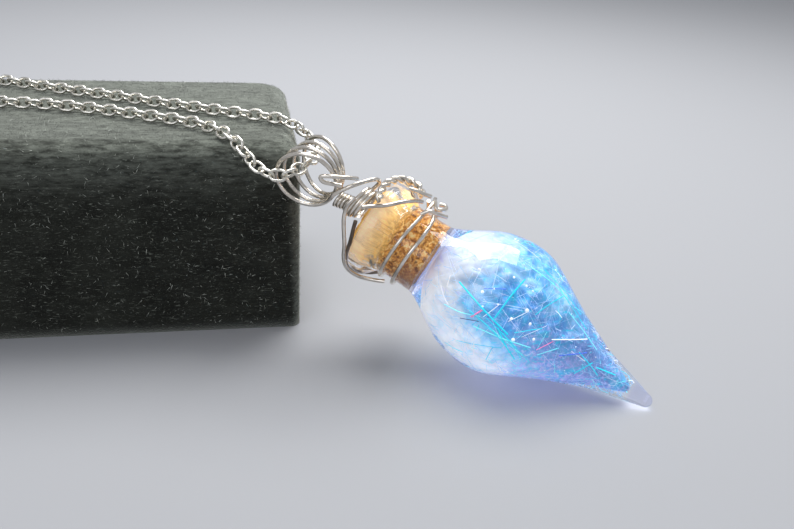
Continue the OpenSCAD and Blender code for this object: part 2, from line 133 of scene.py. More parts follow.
# Strips that show best in the gel: tint, width in widths of a fine fibre, and places along and
# across the bottle at its front
BLUE, CYAN, PALE, WHITE, PINK, INK = 0.15, 0.45, 0.62, 0.9, 0.98, 0.0
SHOWN_STRIPS = [
    (CYAN, 3.4, [(-7.5, -0.5), (-2.0, -2.0), (3.5, -3.2)]),
    (CYAN, 3.4, [(1.0, 5.5), (0.6, 2.0), (0.4, -2.2)]),
    (PALE, 2.4, [(-1.7, -5.1), (2.7, -4.3), (7.8, -3.0)]),
    (CYAN, 2.4, [(-3.6, -3.4), (0.6, -3.9), (4.4, -4.9)]),
    (CYAN, 2.8, [(1.6, -3.2), (4.2, -4.9), (6.6, -5.9)]),
    (WHITE, 2.6, [(10.0, -0.1), (12.7, 1.5), (15.2, 3.0)]),
    (PINK, 3.4, [(-2.8, -4.1), (-1.9, -2.2)]),
    (INK, 1.8, [(-4.2, -5.2), (-1.4, -4.0)]),
    (CYAN, 2.6, [(19.2, 0.1), (21.0, 0.4), (22.8, 0.7)]),
    (CYAN, 2.6, [(16.6, -2.6), (17.4, -1.0), (18.2, 0.4)]),
    (CYAN, 2.2, [(15.2, 0.6), (17.6, 0.0), (20.2, -0.8)]),
    (PALE, 2.2, [(0.8, 7.6), (4.6, 7.4), (8.6, 6.6)]),
    (CYAN, 2.4, [(7.6, 6.7), (6.3, 4.2), (5.4, 1.8)]),
    (PALE, 2.0, [(9.8, 5.0), (13.4, 3.9), (17.6, 2.4)]),
    (CYAN, 1.8, [(6.4, 7.3), (10.4, 5.7), (14.2, 4.2)]),
    (WHITE, 1.8, [(-9.8, -2.6), (-8.4, -3.8), (-7.0, -4.5)]),
    (WHITE, 1.6, [(-9.4, -0.4), (-8.8, -2.2)]),
    (PALE, 1.8, [(-7.6, -4.8), (-4.6, -4.4), (-1.6, -3.2)]),
    (BLUE, 2.2, [(-3.6, 0.8), (-0.6, 2.6)]),
    (CYAN, 1.8, [(4.2, -2.4), (7.6, 0.6)]),
    (PALE, 1.8, [(9.4, -3.4), (11.8, -0.6)]),
    (PINK, 2.0, [(8.8, -2.8), (10.4, -0.2)]),
    (BLUE, 2.6, [(12.6, -1.6), (16.4, 1.2)]),
    (CYAN, 1.8, [(-0.8, -2.9), (2.6, -3.5), (6.0, -4.3)]),
    (PALE, 1.6, [(1.2, -3.9), (4.2, -4.3), (7.2, -4.7)]),
    (CYAN, 1.6, [(2.0, -3.4), (4.6, -4.1), (7.4, -5.2)]),
    (CYAN, 1.4, [(4.4, -3.9), (6.6, -4.5), (9.0, -5.0)]),
    (CYAN, 1.6, [(2.6, 8.4), (7.4, 7.4), (12.0, 5.6)]),
]

# Bubbles that show best: place along and across the bottle at its front, size
SHOWN_BUBBLES = [(-5.9, 2.9, 1.6), (-2.2, 1.6, 1.3), (-3.5, 0.2, 1.8), (3.9, 1.6, 2.4), (2.6, -0.8, 1.7),
                 (5.5, 0.1, 1.9), (4.6, -3.4, 2.2), (7.4, -1.6, 1.9), (-0.6, 4.8, 1.4), (3.0, 4.6, 1.3)]

# Fine fibres: halves of their lengths, the share that flash near the neck and past it, the tints
# that these have and the span of the others' tints, and the spans of the widths of both
FIBRE_HALVES = (0.6, 0.9, 1.2, 1.6, 2.4, 3.4)
MILKY_FROM_Z, FLASHING_AT_NECK, FLASHING = 5, 0.03, 0.12
FLASH_TINTS, CALM_TINTS = (0.4, 0.45, 0.5, 0.6, 0.62, 0.75, 0.9), (1.0, 1.3)
FLASH_WIDTHS, CALM_WIDTHS = (0.8, 1.7), (0.3, 0.8)

# How far out the shown strips and bubbles lie, as a share of the hollow's radius
STRIPS_AT, BUBBLES_AT = 0.93, 0.92

# Bubbles: their usual radius, and the strewn ones' sizes as shares of it
BUBBLE_R = 0.14
BUBBLE_SIZES = (0.4, 0.5, 0.7, 0.9, 1.2)

# Clasp link: length, width and wire in millimetres
CLASP_SIZE = (11, 4.4, 0.9)

# Camera: place in millimetres, compass direction, pitch below the level, roll, and its lens
CAMERA_AT = (25.5, -156.6, 81.6)
CAMERA_RIGHT_OF_Y, CAMERA_PITCH, CAMERA_ROLL = 12.6, 26.7, 4.0
FRAME_WIDTH_PX, FOCAL_PX = 794, 800
SENSOR_MM = 36.0

# Lamps: name, place in metres, width and depth, share of the key light's power, colour
SOFT_LAMPS = [("key", (0.10, 0.16, 0.42), (0.34, 0.30), 1.0, "#ffffff"),
              ("fill", (-0.30, -0.40, 0.35), (0.4, 0.3), 0.25, "#f4f6ff")]
LAMPS_AIM = (0.04, -0.02, 0.02)
WORLD_COLOUR, WORLD_STRENGTH = "#dfe2e8", 0.65


def linear(code, alpha=None):
    """A colour such as #c08040 as linear red, green and blue, with alpha where one is given."""
    parts = [int(code[i:i + 2], 16) / 255 for i in (1, 3, 5)]
    rgb = [c / 12.92 if c <= 0.04045 else ((c + 0.055) / 1.055) ** 2.4 for c in parts]
    return tuple(rgb) if alpha is None else (*rgb, alpha)


def colour(name, description, code):
    """A colour property with its default as sRGB hex."""
    return FloatVectorProperty(name=name, description=description, subtype="COLOR", size=3,
                               min=0, max=1, default=linear(code))


def length(name, description, millimetres):
    """A length property, given in millimetres and kept in metres."""
    return FloatProperty(name=name, description=description, default=millimetres * MM,
                         min=0, precision=5, unit="LENGTH", subtype="DISTANCE")


class BlockSettings(bpy.types.PropertyGroup):
    edge_radius: length("Edge radius", "Radius of the upright edges at their foot", 1.8)
    worn_radius: length("Worn radius", "Radius of the upright edges at the top", 4.2)
    top_radius: length("Top radius", "Radius of the rounding round the top", 4.0)
    pile_height: length("Pile height", "Length of the longest fibres, apart from lint", 0.55)
    pile_density: FloatProperty(name="Pile density", description="Loose fibres for each square metre",
                                default=3.0e6, min=0)
    pile_colour: colour("Pile", "Colour of the flocking", "#090907")
    lint_colour: colour("Lint", "Colour of the pile where it catches the light", "#45483f")


class GlassSettings(bpy.types.PropertyGroup):
    sides: IntProperty(name="Sides", description="Faces round the bottle", default=96, min=24)
    ior: FloatProperty(name="IOR", description="Refraction of soda glass", default=1.47, min=1, max=2)
    tint: colour("Tint", "Colour of the glass seen through its thickness", "#f6f8fd")


class CorkSettings(bpy.types.PropertyGroup):
    pit_depth: length("Pit depth", "Depth of the pits in the cut cork", 0.22)
    body_colour: colour("Cork", "Light colour of the cork", "#e3a24e")
    speck_colour: colour("Specks", "Dark colour in the cork's pits", "#5a2c14")


class FillingSettings(bpy.types.PropertyGroup):
    fibre_count: IntProperty(name="Fibres", description="Number of fine fibres", default=1600, min=0)
    fibre_width: length("Fibre width", "Width of a fine fibre", 0.09)
    bubble_count: IntProperty(name="Bubbles", description="Number of trapped bubbles", default=70, min=0)
    seed: IntProperty(name="Seed", description="Seed of the places of fibres and bubbles", default=11)
    cyan_colour: colour("Cyan", "Colour that most fibres flash", "#12d6ee")


class MetalSettings(bpy.types.PropertyGroup):
    wire_sides: IntProperty(name="Wire sides", description="Faces round a wire", default=12, min=6)
    wire_colour: colour("Wire", "Colour of the silver-plated wire", "#e8e1d6")
    # Painted shade: the colour of wire that lies in shade
    shaded_wire_colour: colour("Dark wire", "Colour of the tarnished wire", "#857a70")
    chain_colour: colour("Chain", "Colour of the plated links", "#e6e3d9")
    link_length: length("Link length", "Length of a link outside", 3.3)
    link_width: length("Link width", "Width of a link outside", 2.6)
    link_wire: length("Link wire", "Diameter of a link's wire", 0.56)


class StageSettings(bpy.types.PropertyGroup):
    floor_colour: colour("Floor", "Colour of the plain floor", "#a0a1a4")
    floor_size: length("Floor size", "Width of the floor", 4000)
    key_power: FloatProperty(name="Key light", description="Power of the main soft light in watts",
                             default=2.8, min=0, unit="POWER")


# Materials

def add(tree, kind, inputs=None, stops=(), **settings):
    """One node with its settings, its links and, on a ramp, its stops of position and colour. inputs
    gives each socket, by name or number, a value, a socket, or a node whose first live output it takes."""
    node = tree.nodes.new(kind)
    for name, value in settings.items():
        setattr(node, name, value)
    for key, value in (inputs or {}).items():
        live = [socket for socket in node.inputs if socket.enabled]
        into = live[key] if isinstance(key, int) else next(s for s in live if s.name == key)
        if isinstance(value, bpy.types.Node):
            value = next(socket for socket in value.outputs if socket.enabled)
        if isinstance(value, bpy.types.NodeSocket):
            tree.links.new(value, into)
        else:
            into.default_value = value
    if stops:
        marks = node.color_ramp.elements
        while len(marks) < len(stops):
            marks.new(0.5)
        for mark, (position, code) in zip(marks, stops):
            mark.position = position
            mark.color = linear(code, 1)
    return node


def new_material(name):
    """A material with an empty tree."""
    material = bpy.data.materials.new(name)
    material.use_nodes = True
    material.node_tree.nodes.clear()
    return material, material.node_tree


def in_millimetres(tree):
    """The object's own coordinates in millimetres, so that a pattern with a Scale of 1 / 7 has a size
    of about 7 mm."""
    metres = add(tree, "ShaderNodeTexCoord").outputs["Object"]
    return add(tree, "ShaderNodeVectorMath", {0: metres, 1: (1 / MM, 1 / MM, 1 / MM)},
               operation="MULTIPLY")


def let_lamps_through(tree, shader, tint):
    """Lets the lamps' light pass through a shader, tinted, so that what is behind it is lit."""
    lamp = add(tree, "ShaderNodeLightPath").outputs["Is Shadow Ray"]
    clear = add(tree, "ShaderNodeBsdfTransparent", {"Color": tint})
    return add(tree, "ShaderNodeMixShader", {0: lamp, 1: shader, 2: clear})


def flocking(settings):
    """Nylon flock on board: short upright fibres, so it is near black face on and pale where it is
    seen along its edge, with painted sheen where it would be lit along its edges and top, mottled where the
    pile leans different ways, with lint on it."""
    material, tree = new_material("nylon_flocking")
    place = in_millimetres(tree)
    lean = add(tree, "ShaderNodeTexNoise",
               {"Vector": place, "Scale": 1 / 7, "Detail": 2.5, "Roughness": 0.55})
    leaning = add(tree, "ShaderNodeMapRange",
                  {"Value": lean, "From Min": 0.4, "From Max": 0.7, "To Max": 0.16})
    # Painted sheen: on the edges and the top the pile is painted paler, in strands along X, as where light
    # grazes its sides
    opened = add(tree, "ShaderNodeAttribute", attribute_name="opened").outputs["Fac"]
    brushing = add(tree, "ShaderNodeVectorMath", {0: place, 1: (0.3, 1.0, 1.2)}, operation="MULTIPLY")
    brushed = add(tree, "ShaderNodeTexNoise",
                  {"Vector": brushing, "Scale": 1 / 0.9, "Detail": 4, "Roughness": 0.7})
    strands = add(tree, "ShaderNodeMapRange",
                  {"Value": brushed, "From Min": 0.36, "From Max": 0.64, "To Min": 0.25, "To Max": 1.5})
    painted_catchlight = add(tree, "ShaderNodeMath", {0: opened, 1: strands}, operation="MULTIPLY")
    grain = add(tree, "ShaderNodeTexNoise",
                {"Vector": place, "Scale": 1 / 0.25, "Detail": 2, "Roughness": 0.7})
    grains = add(tree, "ShaderNodeMapRange",
                 {"Value": grain, "From Min": 0.45, "From Max": 0.75, "To Max": 0.35})
    # Lint: fine pale threads, drawn a little coarser than real ones so that they show
    drawing = add(tree, "ShaderNodeVectorMath", {0: place, 1: (0.35, 1.0, 1.6)}, operation="MULTIPLY")
    streak = add(tree, "ShaderNodeTexNoise",
                 {"Vector": drawing, "Scale": 1 / 0.3, "Detail": 2.5, "Roughness": 0.55, "Distortion": 0.9})
    lint = add(tree, "ShaderNodeMapRange",
               {"Value": streak, "From Min": 0.6, "From Max": 0.75, "To Max": 0.6})
    shade = (*settings.pile_colour, 1)
    for share, tint in ((leaning, settings.lint_colour), (painted_catchlight, linear("#a6aca0")),
                        (grains, settings.lint_colour), (lint, linear("#8c9186"))):
        shade = add(tree, "ShaderNodeMix", {"Factor": share, "A": shade, "B": (*tint, 1)},
                    data_type="RGBA")
    height = add(tree, "ShaderNodeMath", {0: grain, 1: lean}, operation="ADD")
    relief = add(tree, "ShaderNodeBump", {"Strength": 0.5, "Distance": 0.15 * MM, "Height": height})
    shader = add(tree, "ShaderNodeBsdfPrincipled", {
        "Base Color": shade, "Roughness": 0.95, "Specular IOR Level": 0.15, "Sheen Weight": 1.0,
        "Sheen Roughness": 0.35, "Sheen Tint": linear("#e2e6da", 1), "Normal": relief})
    add(tree, "ShaderNodeOutputMaterial", {"Surface": shader})
    return material


def loose_pile():
    """Single nylon fibres that stand out of the flocking: grey where light runs along them."""
    material, tree = new_material("nylon_fibres")
    tint = add(tree, "ShaderNodeAttribute", attribute_name="tint").outputs["Fac"]
    shade = add(tree, "ShaderNodeValToRGB", {"Fac": tint},
                stops=[(0.0, "#131311"), (0.75, "#272823"), (0.9, "#6f736a"), (1.0, "#c9cdc2")])
    shader = add(tree, "ShaderNodeBsdfPrincipled", {"Base Color": shade, "Roughness": 0.6})
    add(tree, "ShaderNodeOutputMaterial", {"Surface": shader})
    return material


def soda_glass(settings):
    """Lamp-worked soda glass: clear and glossy, faintly blue in its thickness. Light from the lamps
    passes through it, so what is inside is lit."""
    material, tree = new_material("soda_glass")
    place = in_millimetres(tree)
    # Along its outline the eye looks through the most glass
    facing = add(tree, "ShaderNodeLayerWeight", {"Blend": 0.5}).outputs["Facing"]
    edge_on = add(tree, "ShaderNodeMapRange",
                  {"Value": facing, "From Min": 0.7, "From Max": 0.98, "To Max": 0.9})
    thick = add(tree, "ShaderNodeAttribute", attribute_name="thick").outputs["Fac"]
    deep = add(tree, "ShaderNodeMath", {0: thick, 1: edge_on}, operation="MAXIMUM")
    tint = add(tree, "ShaderNodeMix",
               {"Factor": deep, "A": (*settings.tint, 1), "B": linear("#b4b8f2", 1)}, data_type="RGBA")
    ripple = add(tree, "ShaderNodeTexNoise",
                 {"Vector": place, "Scale": 1 / 9, "Detail": 1, "Roughness": 0.55})
    relief = add(tree, "ShaderNodeBump", {"Strength": 0.5, "Distance": 0.06 * MM, "Height": ripple})
    shader = add(tree, "ShaderNodeBsdfPrincipled", {
        "Base Color": tint, "Roughness": 0.0, "IOR": settings.ior, "Transmission Weight": 1.0,
        "Sheen Weight": 0.5, "Sheen Roughness": 0.18, "Sheen Tint": linear("#cfd2ff", 1),
        "Normal": relief})
    glass = let_lamps_through(tree, shader, tint=linear("#f7f9fb", 1))
    add(tree, "ShaderNodeOutputMaterial", {"Surface": glass})
    return material


def wetted_glass(settings):
    """The glass's inner face where the gel wets it or the cork touches it. Gel and glass bend light
    alike, so the face between them doesn't show. The cork touches the glass in patches only."""
    material, tree = new_material("wetted_glass")
    place = in_millimetres(tree)
    touching = add(tree, "ShaderNodeMapping", {"Vector": place, "Scale": (1, 1, 0.5)})
    patches = add(tree, "ShaderNodeTexNoise",
                  {"Vector": touching, "Scale": 1 / 1.6, "Detail": 2, "Roughness": 0.55})
    apart = add(tree, "ShaderNodeMapRange", {"Value": patches, "From Min": 0.42, "From Max": 0.6})
    dry = add(tree, "ShaderNodeAttribute", attribute_name="dry").outputs["Fac"]
    free = add(tree, "ShaderNodeMath", {0: dry, 1: apart}, operation="MULTIPLY")
    shader = add(tree, "ShaderNodeBsdfPrincipled", {
        "Alpha": free, "Roughness": 0.05, "IOR": settings.ior, "Transmission Weight": 1.0})
    add(tree, "ShaderNodeOutputMaterial", {"Surface": shader})
    return material


def cut_cork(settings):
    """Natural cork cut to a plug: warm tan with darker grain, and dark brown lenticels and pits. The
    thick lip spreads light over its upper end; this is painted: pale gold and cream, specks faded and a
    painted glow there. Painted shade darkens its lower side near the foot."""
    material, tree = new_material("cut_cork")
    place = in_millimetres(tree)
    near_mouth = add(tree, "ShaderNodeAttribute", attribute_name="mouth").outputs["Fac"]
    under = add(tree, "ShaderNodeAttribute", attribute_name="under").outputs["Fac"]
    round_it = add(tree, "ShaderNodeAttribute", attribute_name="round").outputs["Fac"]
    cells = add(tree, "ShaderNodeTexNoise", {
        "Vector": place, "Scale": 1 / 0.75, "Detail": 5, "Roughness": 0.75, "Distortion": 0.5})
    # Painted light from the lip: pale gold, and higher up cream, towards the mouth
    painted_lip_gold = add(tree, "ShaderNodeMapRange", {"Value": near_mouth, "From Max": 0.4, "To Max": 0.75})
    # Streaks run along the plug, where the glass draws its grain out
    drawn = add(tree, "ShaderNodeTexNoise",
                {"Vector": round_it, "Scale": 1 / 0.06, "Detail": 2, "Roughness": 0.7})
    lines = add(tree, "ShaderNodeMapRange",
                {"Value": drawn, "From Min": 0.4, "From Max": 0.55, "To Min": 0.7, "To Max": 0})
    in_lip = add(tree, "ShaderNodeMapRange", {"Value": near_mouth, "From Min": 0.05, "From Max": 0.4})
    streak = add(tree, "ShaderNodeMath", {0: lines, 1: in_lip}, operation="MULTIPLY")
    painted_lip_cream = add(tree, "ShaderNodeMapRange",
                 {"Value": near_mouth, "From Min": 0.5, "From Max": 0.95, "To Max": 0.85})
    # Painted shade: darker and purplish on the lower side near the foot
    painted_under_shade = add(tree, "ShaderNodeMath", {0: under, 1: 0.7}, operation="MULTIPLY")
    # Dark specks lie in clusters, and towards the mouth they are painted faded, as washed out by the lip's
    # light
    pits = add(tree, "ShaderNodeTexVoronoi", {"Vector": place, "Scale": 1 / 0.9, "Randomness": 1.0})
    spots = add(tree, "ShaderNodeMapRange",
                {"Value": pits, "From Min": 0.16, "From Max": 0.36, "To Min": 0.9, "To Max": 0})
    broad = add(tree, "ShaderNodeTexNoise",
                {"Vector": place, "Scale": 1 / 3.5, "Detail": 2, "Roughness": 0.55})
    clusters = add(tree, "ShaderNodeMapRange",
                   {"Value": broad, "From Min": 0.42, "From Max": 0.58, "To Min": 0.05, "To Max": 0.8})
    specks = add(tree, "ShaderNodeMath", {0: spots, 1: clusters}, operation="MULTIPLY")
    painted_speck_fade = add(tree, "ShaderNodeMapRange",
                 {"Value": near_mouth, "From Min": 0.1, "From Max": 0.6, "To Min": 1, "To Max": 0.15})
    dark = add(tree, "ShaderNodeMath", {0: specks, 1: painted_speck_fade}, operation="MULTIPLY")
    shade = add(tree, "ShaderNodeValToRGB", {"Fac": cells},
                stops=[(0.39, "#5d2c10"), (0.45, "#b5681e"), (0.53, "#efa840"), (0.6, "#ffe39c")])
    for share, tint in ((painted_lip_gold, linear("#fdd17a")), (streak, linear("#c08a45")),
                        (painted_lip_cream, linear("#f8e2c0")), (painted_under_shade, linear("#7d5a58")),
                        (0.12, settings.body_colour), (dark, settings.speck_colour)):
        shade = add(tree, "ShaderNodeMix", {"Factor": share, "A": shade, "B": (*tint, 1)},
                    data_type="RGBA")
    # Painted glow: emission stands in for light that the glass round it leads to the cork, most at the lip
    cork_glow_share = add(tree, "ShaderNodeMapRange",
              {"Value": near_mouth, "From Max": 0.6, "To Min": 0.25, "To Max": 0.7})
    painted_glow = add(tree, "ShaderNodeMix", {"Factor": cork_glow_share, "A": linear("#000000", 1), "B": shade},
               data_type="RGBA")
    height = add(tree, "ShaderNodeMath", {0: cells, 1: dark}, operation="SUBTRACT")
    relief = add(tree, "ShaderNodeBump", {"Strength": 0.8, "Distance": 0.25 * MM, "Height": height})
    shader = add(tree, "ShaderNodeBsdfPrincipled", {
        "Base Color": shade, "Roughness": 0.85, "Specular IOR Level": 0.25, "Emission Color": painted_glow,
        "Emission Strength": 0.6, "Normal": relief})
    add(tree, "ShaderNodeOutputMaterial", {"Surface": shader})
    return material


def shimmer_gel(settings):
    """A cloud of fine iridescent film in clear gel: milky near the neck, blue in the middle and violet
    below it, with flashes drawn out along the fibres. Light that enters above leaves below: this is
    painted, as a glow on the shaded side and shade on the upper side. Half of the lamps' light passes, tinted
    lilac."""
    material, tree = new_material("shimmer_gel")
    place = in_millimetres(tree)
    blue, tail, violet, lit, upper = (
        add(tree, "ShaderNodeAttribute", attribute_name=name).outputs["Fac"]
        for name in ("blue", "tail", "violet", "painted_glow", "upper"))
    cloud = add(tree, "ShaderNodeTexNoise", {
        "Vector": place, "Scale": 1 / 4.5, "Detail": 4, "Roughness": 0.6, "Distortion": 0.4})
    # Two bundles of fibres that lie across each other
    turned = add(tree, "ShaderNodeMapping",
                 {"Vector": place, "Rotation": (0.5, 0.4, 0.6), "Scale": (0.16, 1.3, 1.3)})
    first = add(tree, "ShaderNodeTexNoise",
                {"Vector": turned, "Scale": 1 / 0.7, "Detail": 3, "Roughness": 0.65})
    other = add(tree, "ShaderNodeMapping",
                {"Vector": place, "Rotation": (-0.7, 1.1, -0.4), "Scale": (1.2, 0.14, 1.2)})
    second = add(tree, "ShaderNodeTexNoise",
                 {"Vector": other, "Scale": 1 / 0.6, "Detail": 3, "Roughness": 0.65})
    stirred = add(tree, "ShaderNodeMapRange",
                  {"Value": cloud, "From Min": 0.3, "From Max": 0.7, "To Min": -0.3, "To Max": 0.3})
    blueness = add(tree, "ShaderNodeMath", {0: blue, 1: stirred}, operation="ADD")
    body = add(tree, "ShaderNodeValToRGB", {"Fac": blueness},
               stops=[(0.0, "#eaebea"), (0.28, "#d6dfe8"), (0.5, "#a6d0ec"), (0.75, "#76bce8"),
                      (1.0, "#529ddb")])
    deep = add(tree, "ShaderNodeValToRGB", {"Fac": cloud},
               stops=[(0.32, "#35559c"), (0.5, "#5479b8"), (0.7, "#86a3d0")])
    in_tail = add(tree, "ShaderNodeMath", {0: tail, 1: 0.8}, operation="MULTIPLY")
    violet_film = add(tree, "ShaderNodeMapRange",
                      {"Value": second, "From Min": 0.4, "From Max": 0.6, "To Min": 0.1, "To Max": 0.85})
    patches = add(tree, "ShaderNodeMath", {0: violet, 1: violet_film}, operation="MULTIPLY")
    # Film that lies flat to the light flashes as a whole: broad smudges of teal
    sheet = add(tree, "ShaderNodeTexNoise",
                {"Vector": place, "Scale": 1 / 3, "Detail": 2, "Roughness": 0.55, "Distortion": 1.2})
    flat = add(tree, "ShaderNodeMapRange",
               {"Value": sheet, "From Min": 0.52, "From Max": 0.68, "To Max": 0.7})
    smudges = add(tree, "ShaderNodeMath", {0: flat, 1: blue}, operation="MULTIPLY")
    # Fibres on the crests of the two bundles flash cyan and pale lilac
    crests = add(tree, "ShaderNodeMapRange",
                 {"Value": first, "From Min": 0.58, "From Max": 0.68, "To Max": 0.8})
    in_blue = add(tree, "ShaderNodeMapRange",
                  {"Value": blueness, "From Min": 0.25, "From Max": 0.7, "To Min": 0.1})
    flashes = add(tree, "ShaderNodeMath", {0: crests, 1: in_blue}, operation="MULTIPLY")
    pale = add(tree, "ShaderNodeMapRange",
               {"Value": second, "From Min": 0.57, "From Max": 0.68, "To Max": 0.5})
    for share, tint in ((in_tail, deep), (patches, linear("#a8a2dc", 1)), (smudges, linear("#2fb4d8", 1)),
                        (flashes, (*settings.cyan_colour, 1)), (pale, linear("#d3d3fb", 1))):
        body = add(tree, "ShaderNodeMix", {"Factor": share, "A": body, "B": tint}, data_type="RGBA")
    # Painted shade: the upper side is darkened, standing in for light that sinks into the gel
    top_shade_painted = add(tree, "ShaderNodeMix", {"Factor": upper, "A": body, "B": linear("#a9b9d2", 1)},
               data_type="RGBA", blend_type="MULTIPLY")
    # Painted glow: the shaded side gives off its colour as light
    painted_glow = add(tree, "ShaderNodeMix", {"Factor": lit, "A": linear("#000000", 1), "B": body},
               data_type="RGBA")
    relief = add(tree, "ShaderNodeBump", {"Strength": 0.4, "Distance": 0.12 * MM, "Height": first})
    shader = add(tree, "ShaderNodeBsdfPrincipled", {
        "Base Color": top_shade_painted, "Roughness": 0.5, "Emission Color": painted_glow, "Emission Strength": 1.0,
        "Normal": relief})
    gel = let_lamps_through(tree, shader, tint=linear("#b5b1ce", 1))
    add(tree, "ShaderNodeOutputMaterial", {"Surface": gel})
    return material


def shimmer_film():
    """Cut strips of iridescent film: cyan, blue, lilac, pink or white by the way each strip flashes.
    A tint above 1 is a strip that doesn't flash: it is nearly as blue or pale as the cloud behind it."""
    material, tree = new_material("shimmer_film")
    tint = add(tree, "ShaderNodeAttribute", attribute_name="tint").outputs["Fac"]
    flash = add(tree, "ShaderNodeValToRGB", {"Fac": tint},
                stops=[(0.0, "#2c3570"), (0.15, "#3f6be0"), (0.45, "#08dcee"), (0.62, "#7ef0f6"),
                       (0.78, "#cfd6fb"), (0.9, "#ffffff"), (0.98, "#f77fb0")])
    above_one = add(tree, "ShaderNodeMapRange", {"Value": tint, "From Min": 1.0, "From Max": 1.3})
    calm = add(tree, "ShaderNodeValToRGB", {"Fac": above_one},
               stops=[(0.0, "#84bbe8"), (0.4, "#9fcbee"), (0.75, "#bfd3f0"), (1.0, "#dfe6f6")])
    is_calm = add(tree, "ShaderNodeMath", {0: tint, 1: 0.995}, operation="GREATER_THAN")
    shown = add(tree, "ShaderNodeMix", {"Factor": is_calm, "A": flash, "B": calm}, data_type="RGBA")
    # Painted glow: the strips give off their own colour as light
    shader = add(tree, "ShaderNodeBsdfPrincipled", {
        "Base Color": shown, "Roughness": 0.3, "Emission Color": shown, "Emission Strength": 0.32})
    add(tree, "ShaderNodeOutputMaterial", {"Surface": shader})
    return material


def trapped_air():
    """Bubbles in the gel: their skins mirror the lights, and a painted white glow adds to it, so each is a
    bright bead.
    """
    material, tree = new_material("trapped_air")
    shader = add(tree, "ShaderNodeBsdfPrincipled", {
        "Base Color": linear("#f4f6ff", 1), "Roughness": 0.08, "Emission Color": linear("#ffffff", 1),
        "Emission Strength": 0.35})
    add(tree, "ShaderNodeOutputMaterial", {"Surface": shader})
    return material


def plated(name, base, rough, worn):
    """Silver plate over drawn brass wire: bright and slightly warm, with fine draw marks that widen
    its highlights, duller and greyer where it is handled or tarnished."""
    material, tree = new_material(name)
    place = in_millimetres(tree)
    patches = add(tree, "ShaderNodeTexNoise",
                  {"Vector": place, "Scale": 1 / 2.2, "Detail": 3, "Roughness": 0.55})
    handled = add(tree, "ShaderNodeMapRange",
                  {"Value": patches, "From Min": 0.4, "From Max": 0.7, "To Max": worn})
    tone = add(tree, "ShaderNodeMix", {"Factor": handled, "A": (*base, 1), "B": linear("#6d665f", 1)},
               data_type="RGBA")
    marks = add(tree, "ShaderNodeTexNoise",
                {"Vector": place, "Scale": 1 / 0.5, "Detail": 2, "Roughness": 0.55})
    roughness = add(tree, "ShaderNodeMapRange", {
        "Value": marks, "From Min": 0.3, "From Max": 0.7, "To Min": rough * 0.85, "To Max": rough * 1.25})
    relief = add(tree, "ShaderNodeBump", {"Strength": 0.2, "Distance": 0.01 * MM, "Height": marks})
    shader = add(tree, "ShaderNodeBsdfPrincipled",
                 {"Base Color": tone, "Metallic": 1.0, "Roughness": roughness, "Normal": relief})
    add(tree, "ShaderNodeOutputMaterial", {"Surface": shader})
    return material


def matt_floor(settings):
    """Matt painted board."""
    material, tree = new_material("matt_floor")
    shader = add(tree, "ShaderNodeBsdfPrincipled",
                 {"Base Color": (*settings.floor_colour, 1), "Roughness": 0.8})
    add(tree, "ShaderNodeOutputMaterial", {"Surface": shader})
    return material


# Shapes

def unit(v):
    """A vector of length one."""
    return v / np.linalg.norm(v)


def smooth(route, steps):
    """A smooth curve through all points of a route, with so many steps from each to the next."""
    p = np.array(route, float)
    p = np.vstack([2 * p[0] - p[1], p, 2 * p[-1] - p[-2]])
    curve = []
    for i in range(1, len(p) - 2):
        p0, p1, p2, p3 = p[i - 1:i + 3]
        for j in range(steps):
            f = j / steps
            curve.append(0.5 * (2 * p1 + (p2 - p0) * f + (2 * p0 - 5 * p1 + 4 * p2 - p3) * f * f
                                + (3 * p1 - p0 - 3 * p2 + p3) * f ** 3))
    return np.array(curve + [p[-2]])


def bottle_matrix():
    """The bottle's own axes, in millimetres, to the frame's place in metres."""
    at = Vector((BLOCK_HIGH.x + BOTTLE_RIGHT * MM, BLOCK_LOW.y - BOTTLE_FRONT * MM, BELLY_R * MM))
    turn = (Matrix.Rotation(math.radians(BOTTLE_HEADING), 4, "Z")
            @ Matrix.Rotation(math.radians(90 - BOTTLE_LEAN), 4, "Y")
            @ Matrix.Rotation(math.radians(BOTTLE_TURN), 4, "Z"))
    return Matrix.Translation(at) @ turn @ Matrix.Scale(MM, 4)


def on_bottle(points):
    """Places given along, across and out from the bottle, as places in the frame."""
    turn = bottle_matrix()
    return [turn @ Vector((p[2], p[1], -p[0])) for p in points]


def finished(name, mesh, material, body, *nodes, smooth_faces=True):
    """A piece with its material that rides on a body and stands for its nodes."""
    if material.name not in [m.name for m in mesh.materials if m]:
        mesh.materials.clear()
        mesh.materials.append(material)
    if smooth_faces:
        mesh.shade_smooth()
    piece = bpy.data.objects.new(name, mesh)
    bpy.context.scene.collection.objects.link(piece)
    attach(piece, body)
    if nodes:
        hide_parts(*nodes)
    return piece


def new_mesh(name, points, faces=(), edges=()):
    """A mesh from its points, faces and edges."""
    mesh = bpy.data.meshes.new(name)
    mesh.from_pydata([tuple(p) for p in points], list(edges), [tuple(f) for f in faces])
    mesh.update()
    return mesh


def held(value):
    """A value held between 0 and 1."""
    return min(1.0, max(0.0, value))


def gone(value, start, end):
    """How far a value has gone from start to end: 0 before the one and 1 past the other."""
    return held((value - start) / (end - start))


def set_values(mesh, **values):
    """Named values of a mesh's points."""
    for key, numbers in values.items():
        attribute = mesh.attributes.new(key, "FLOAT", "POINT")
        attribute.data.foreach_set("value", np.array(numbers, np.float32))


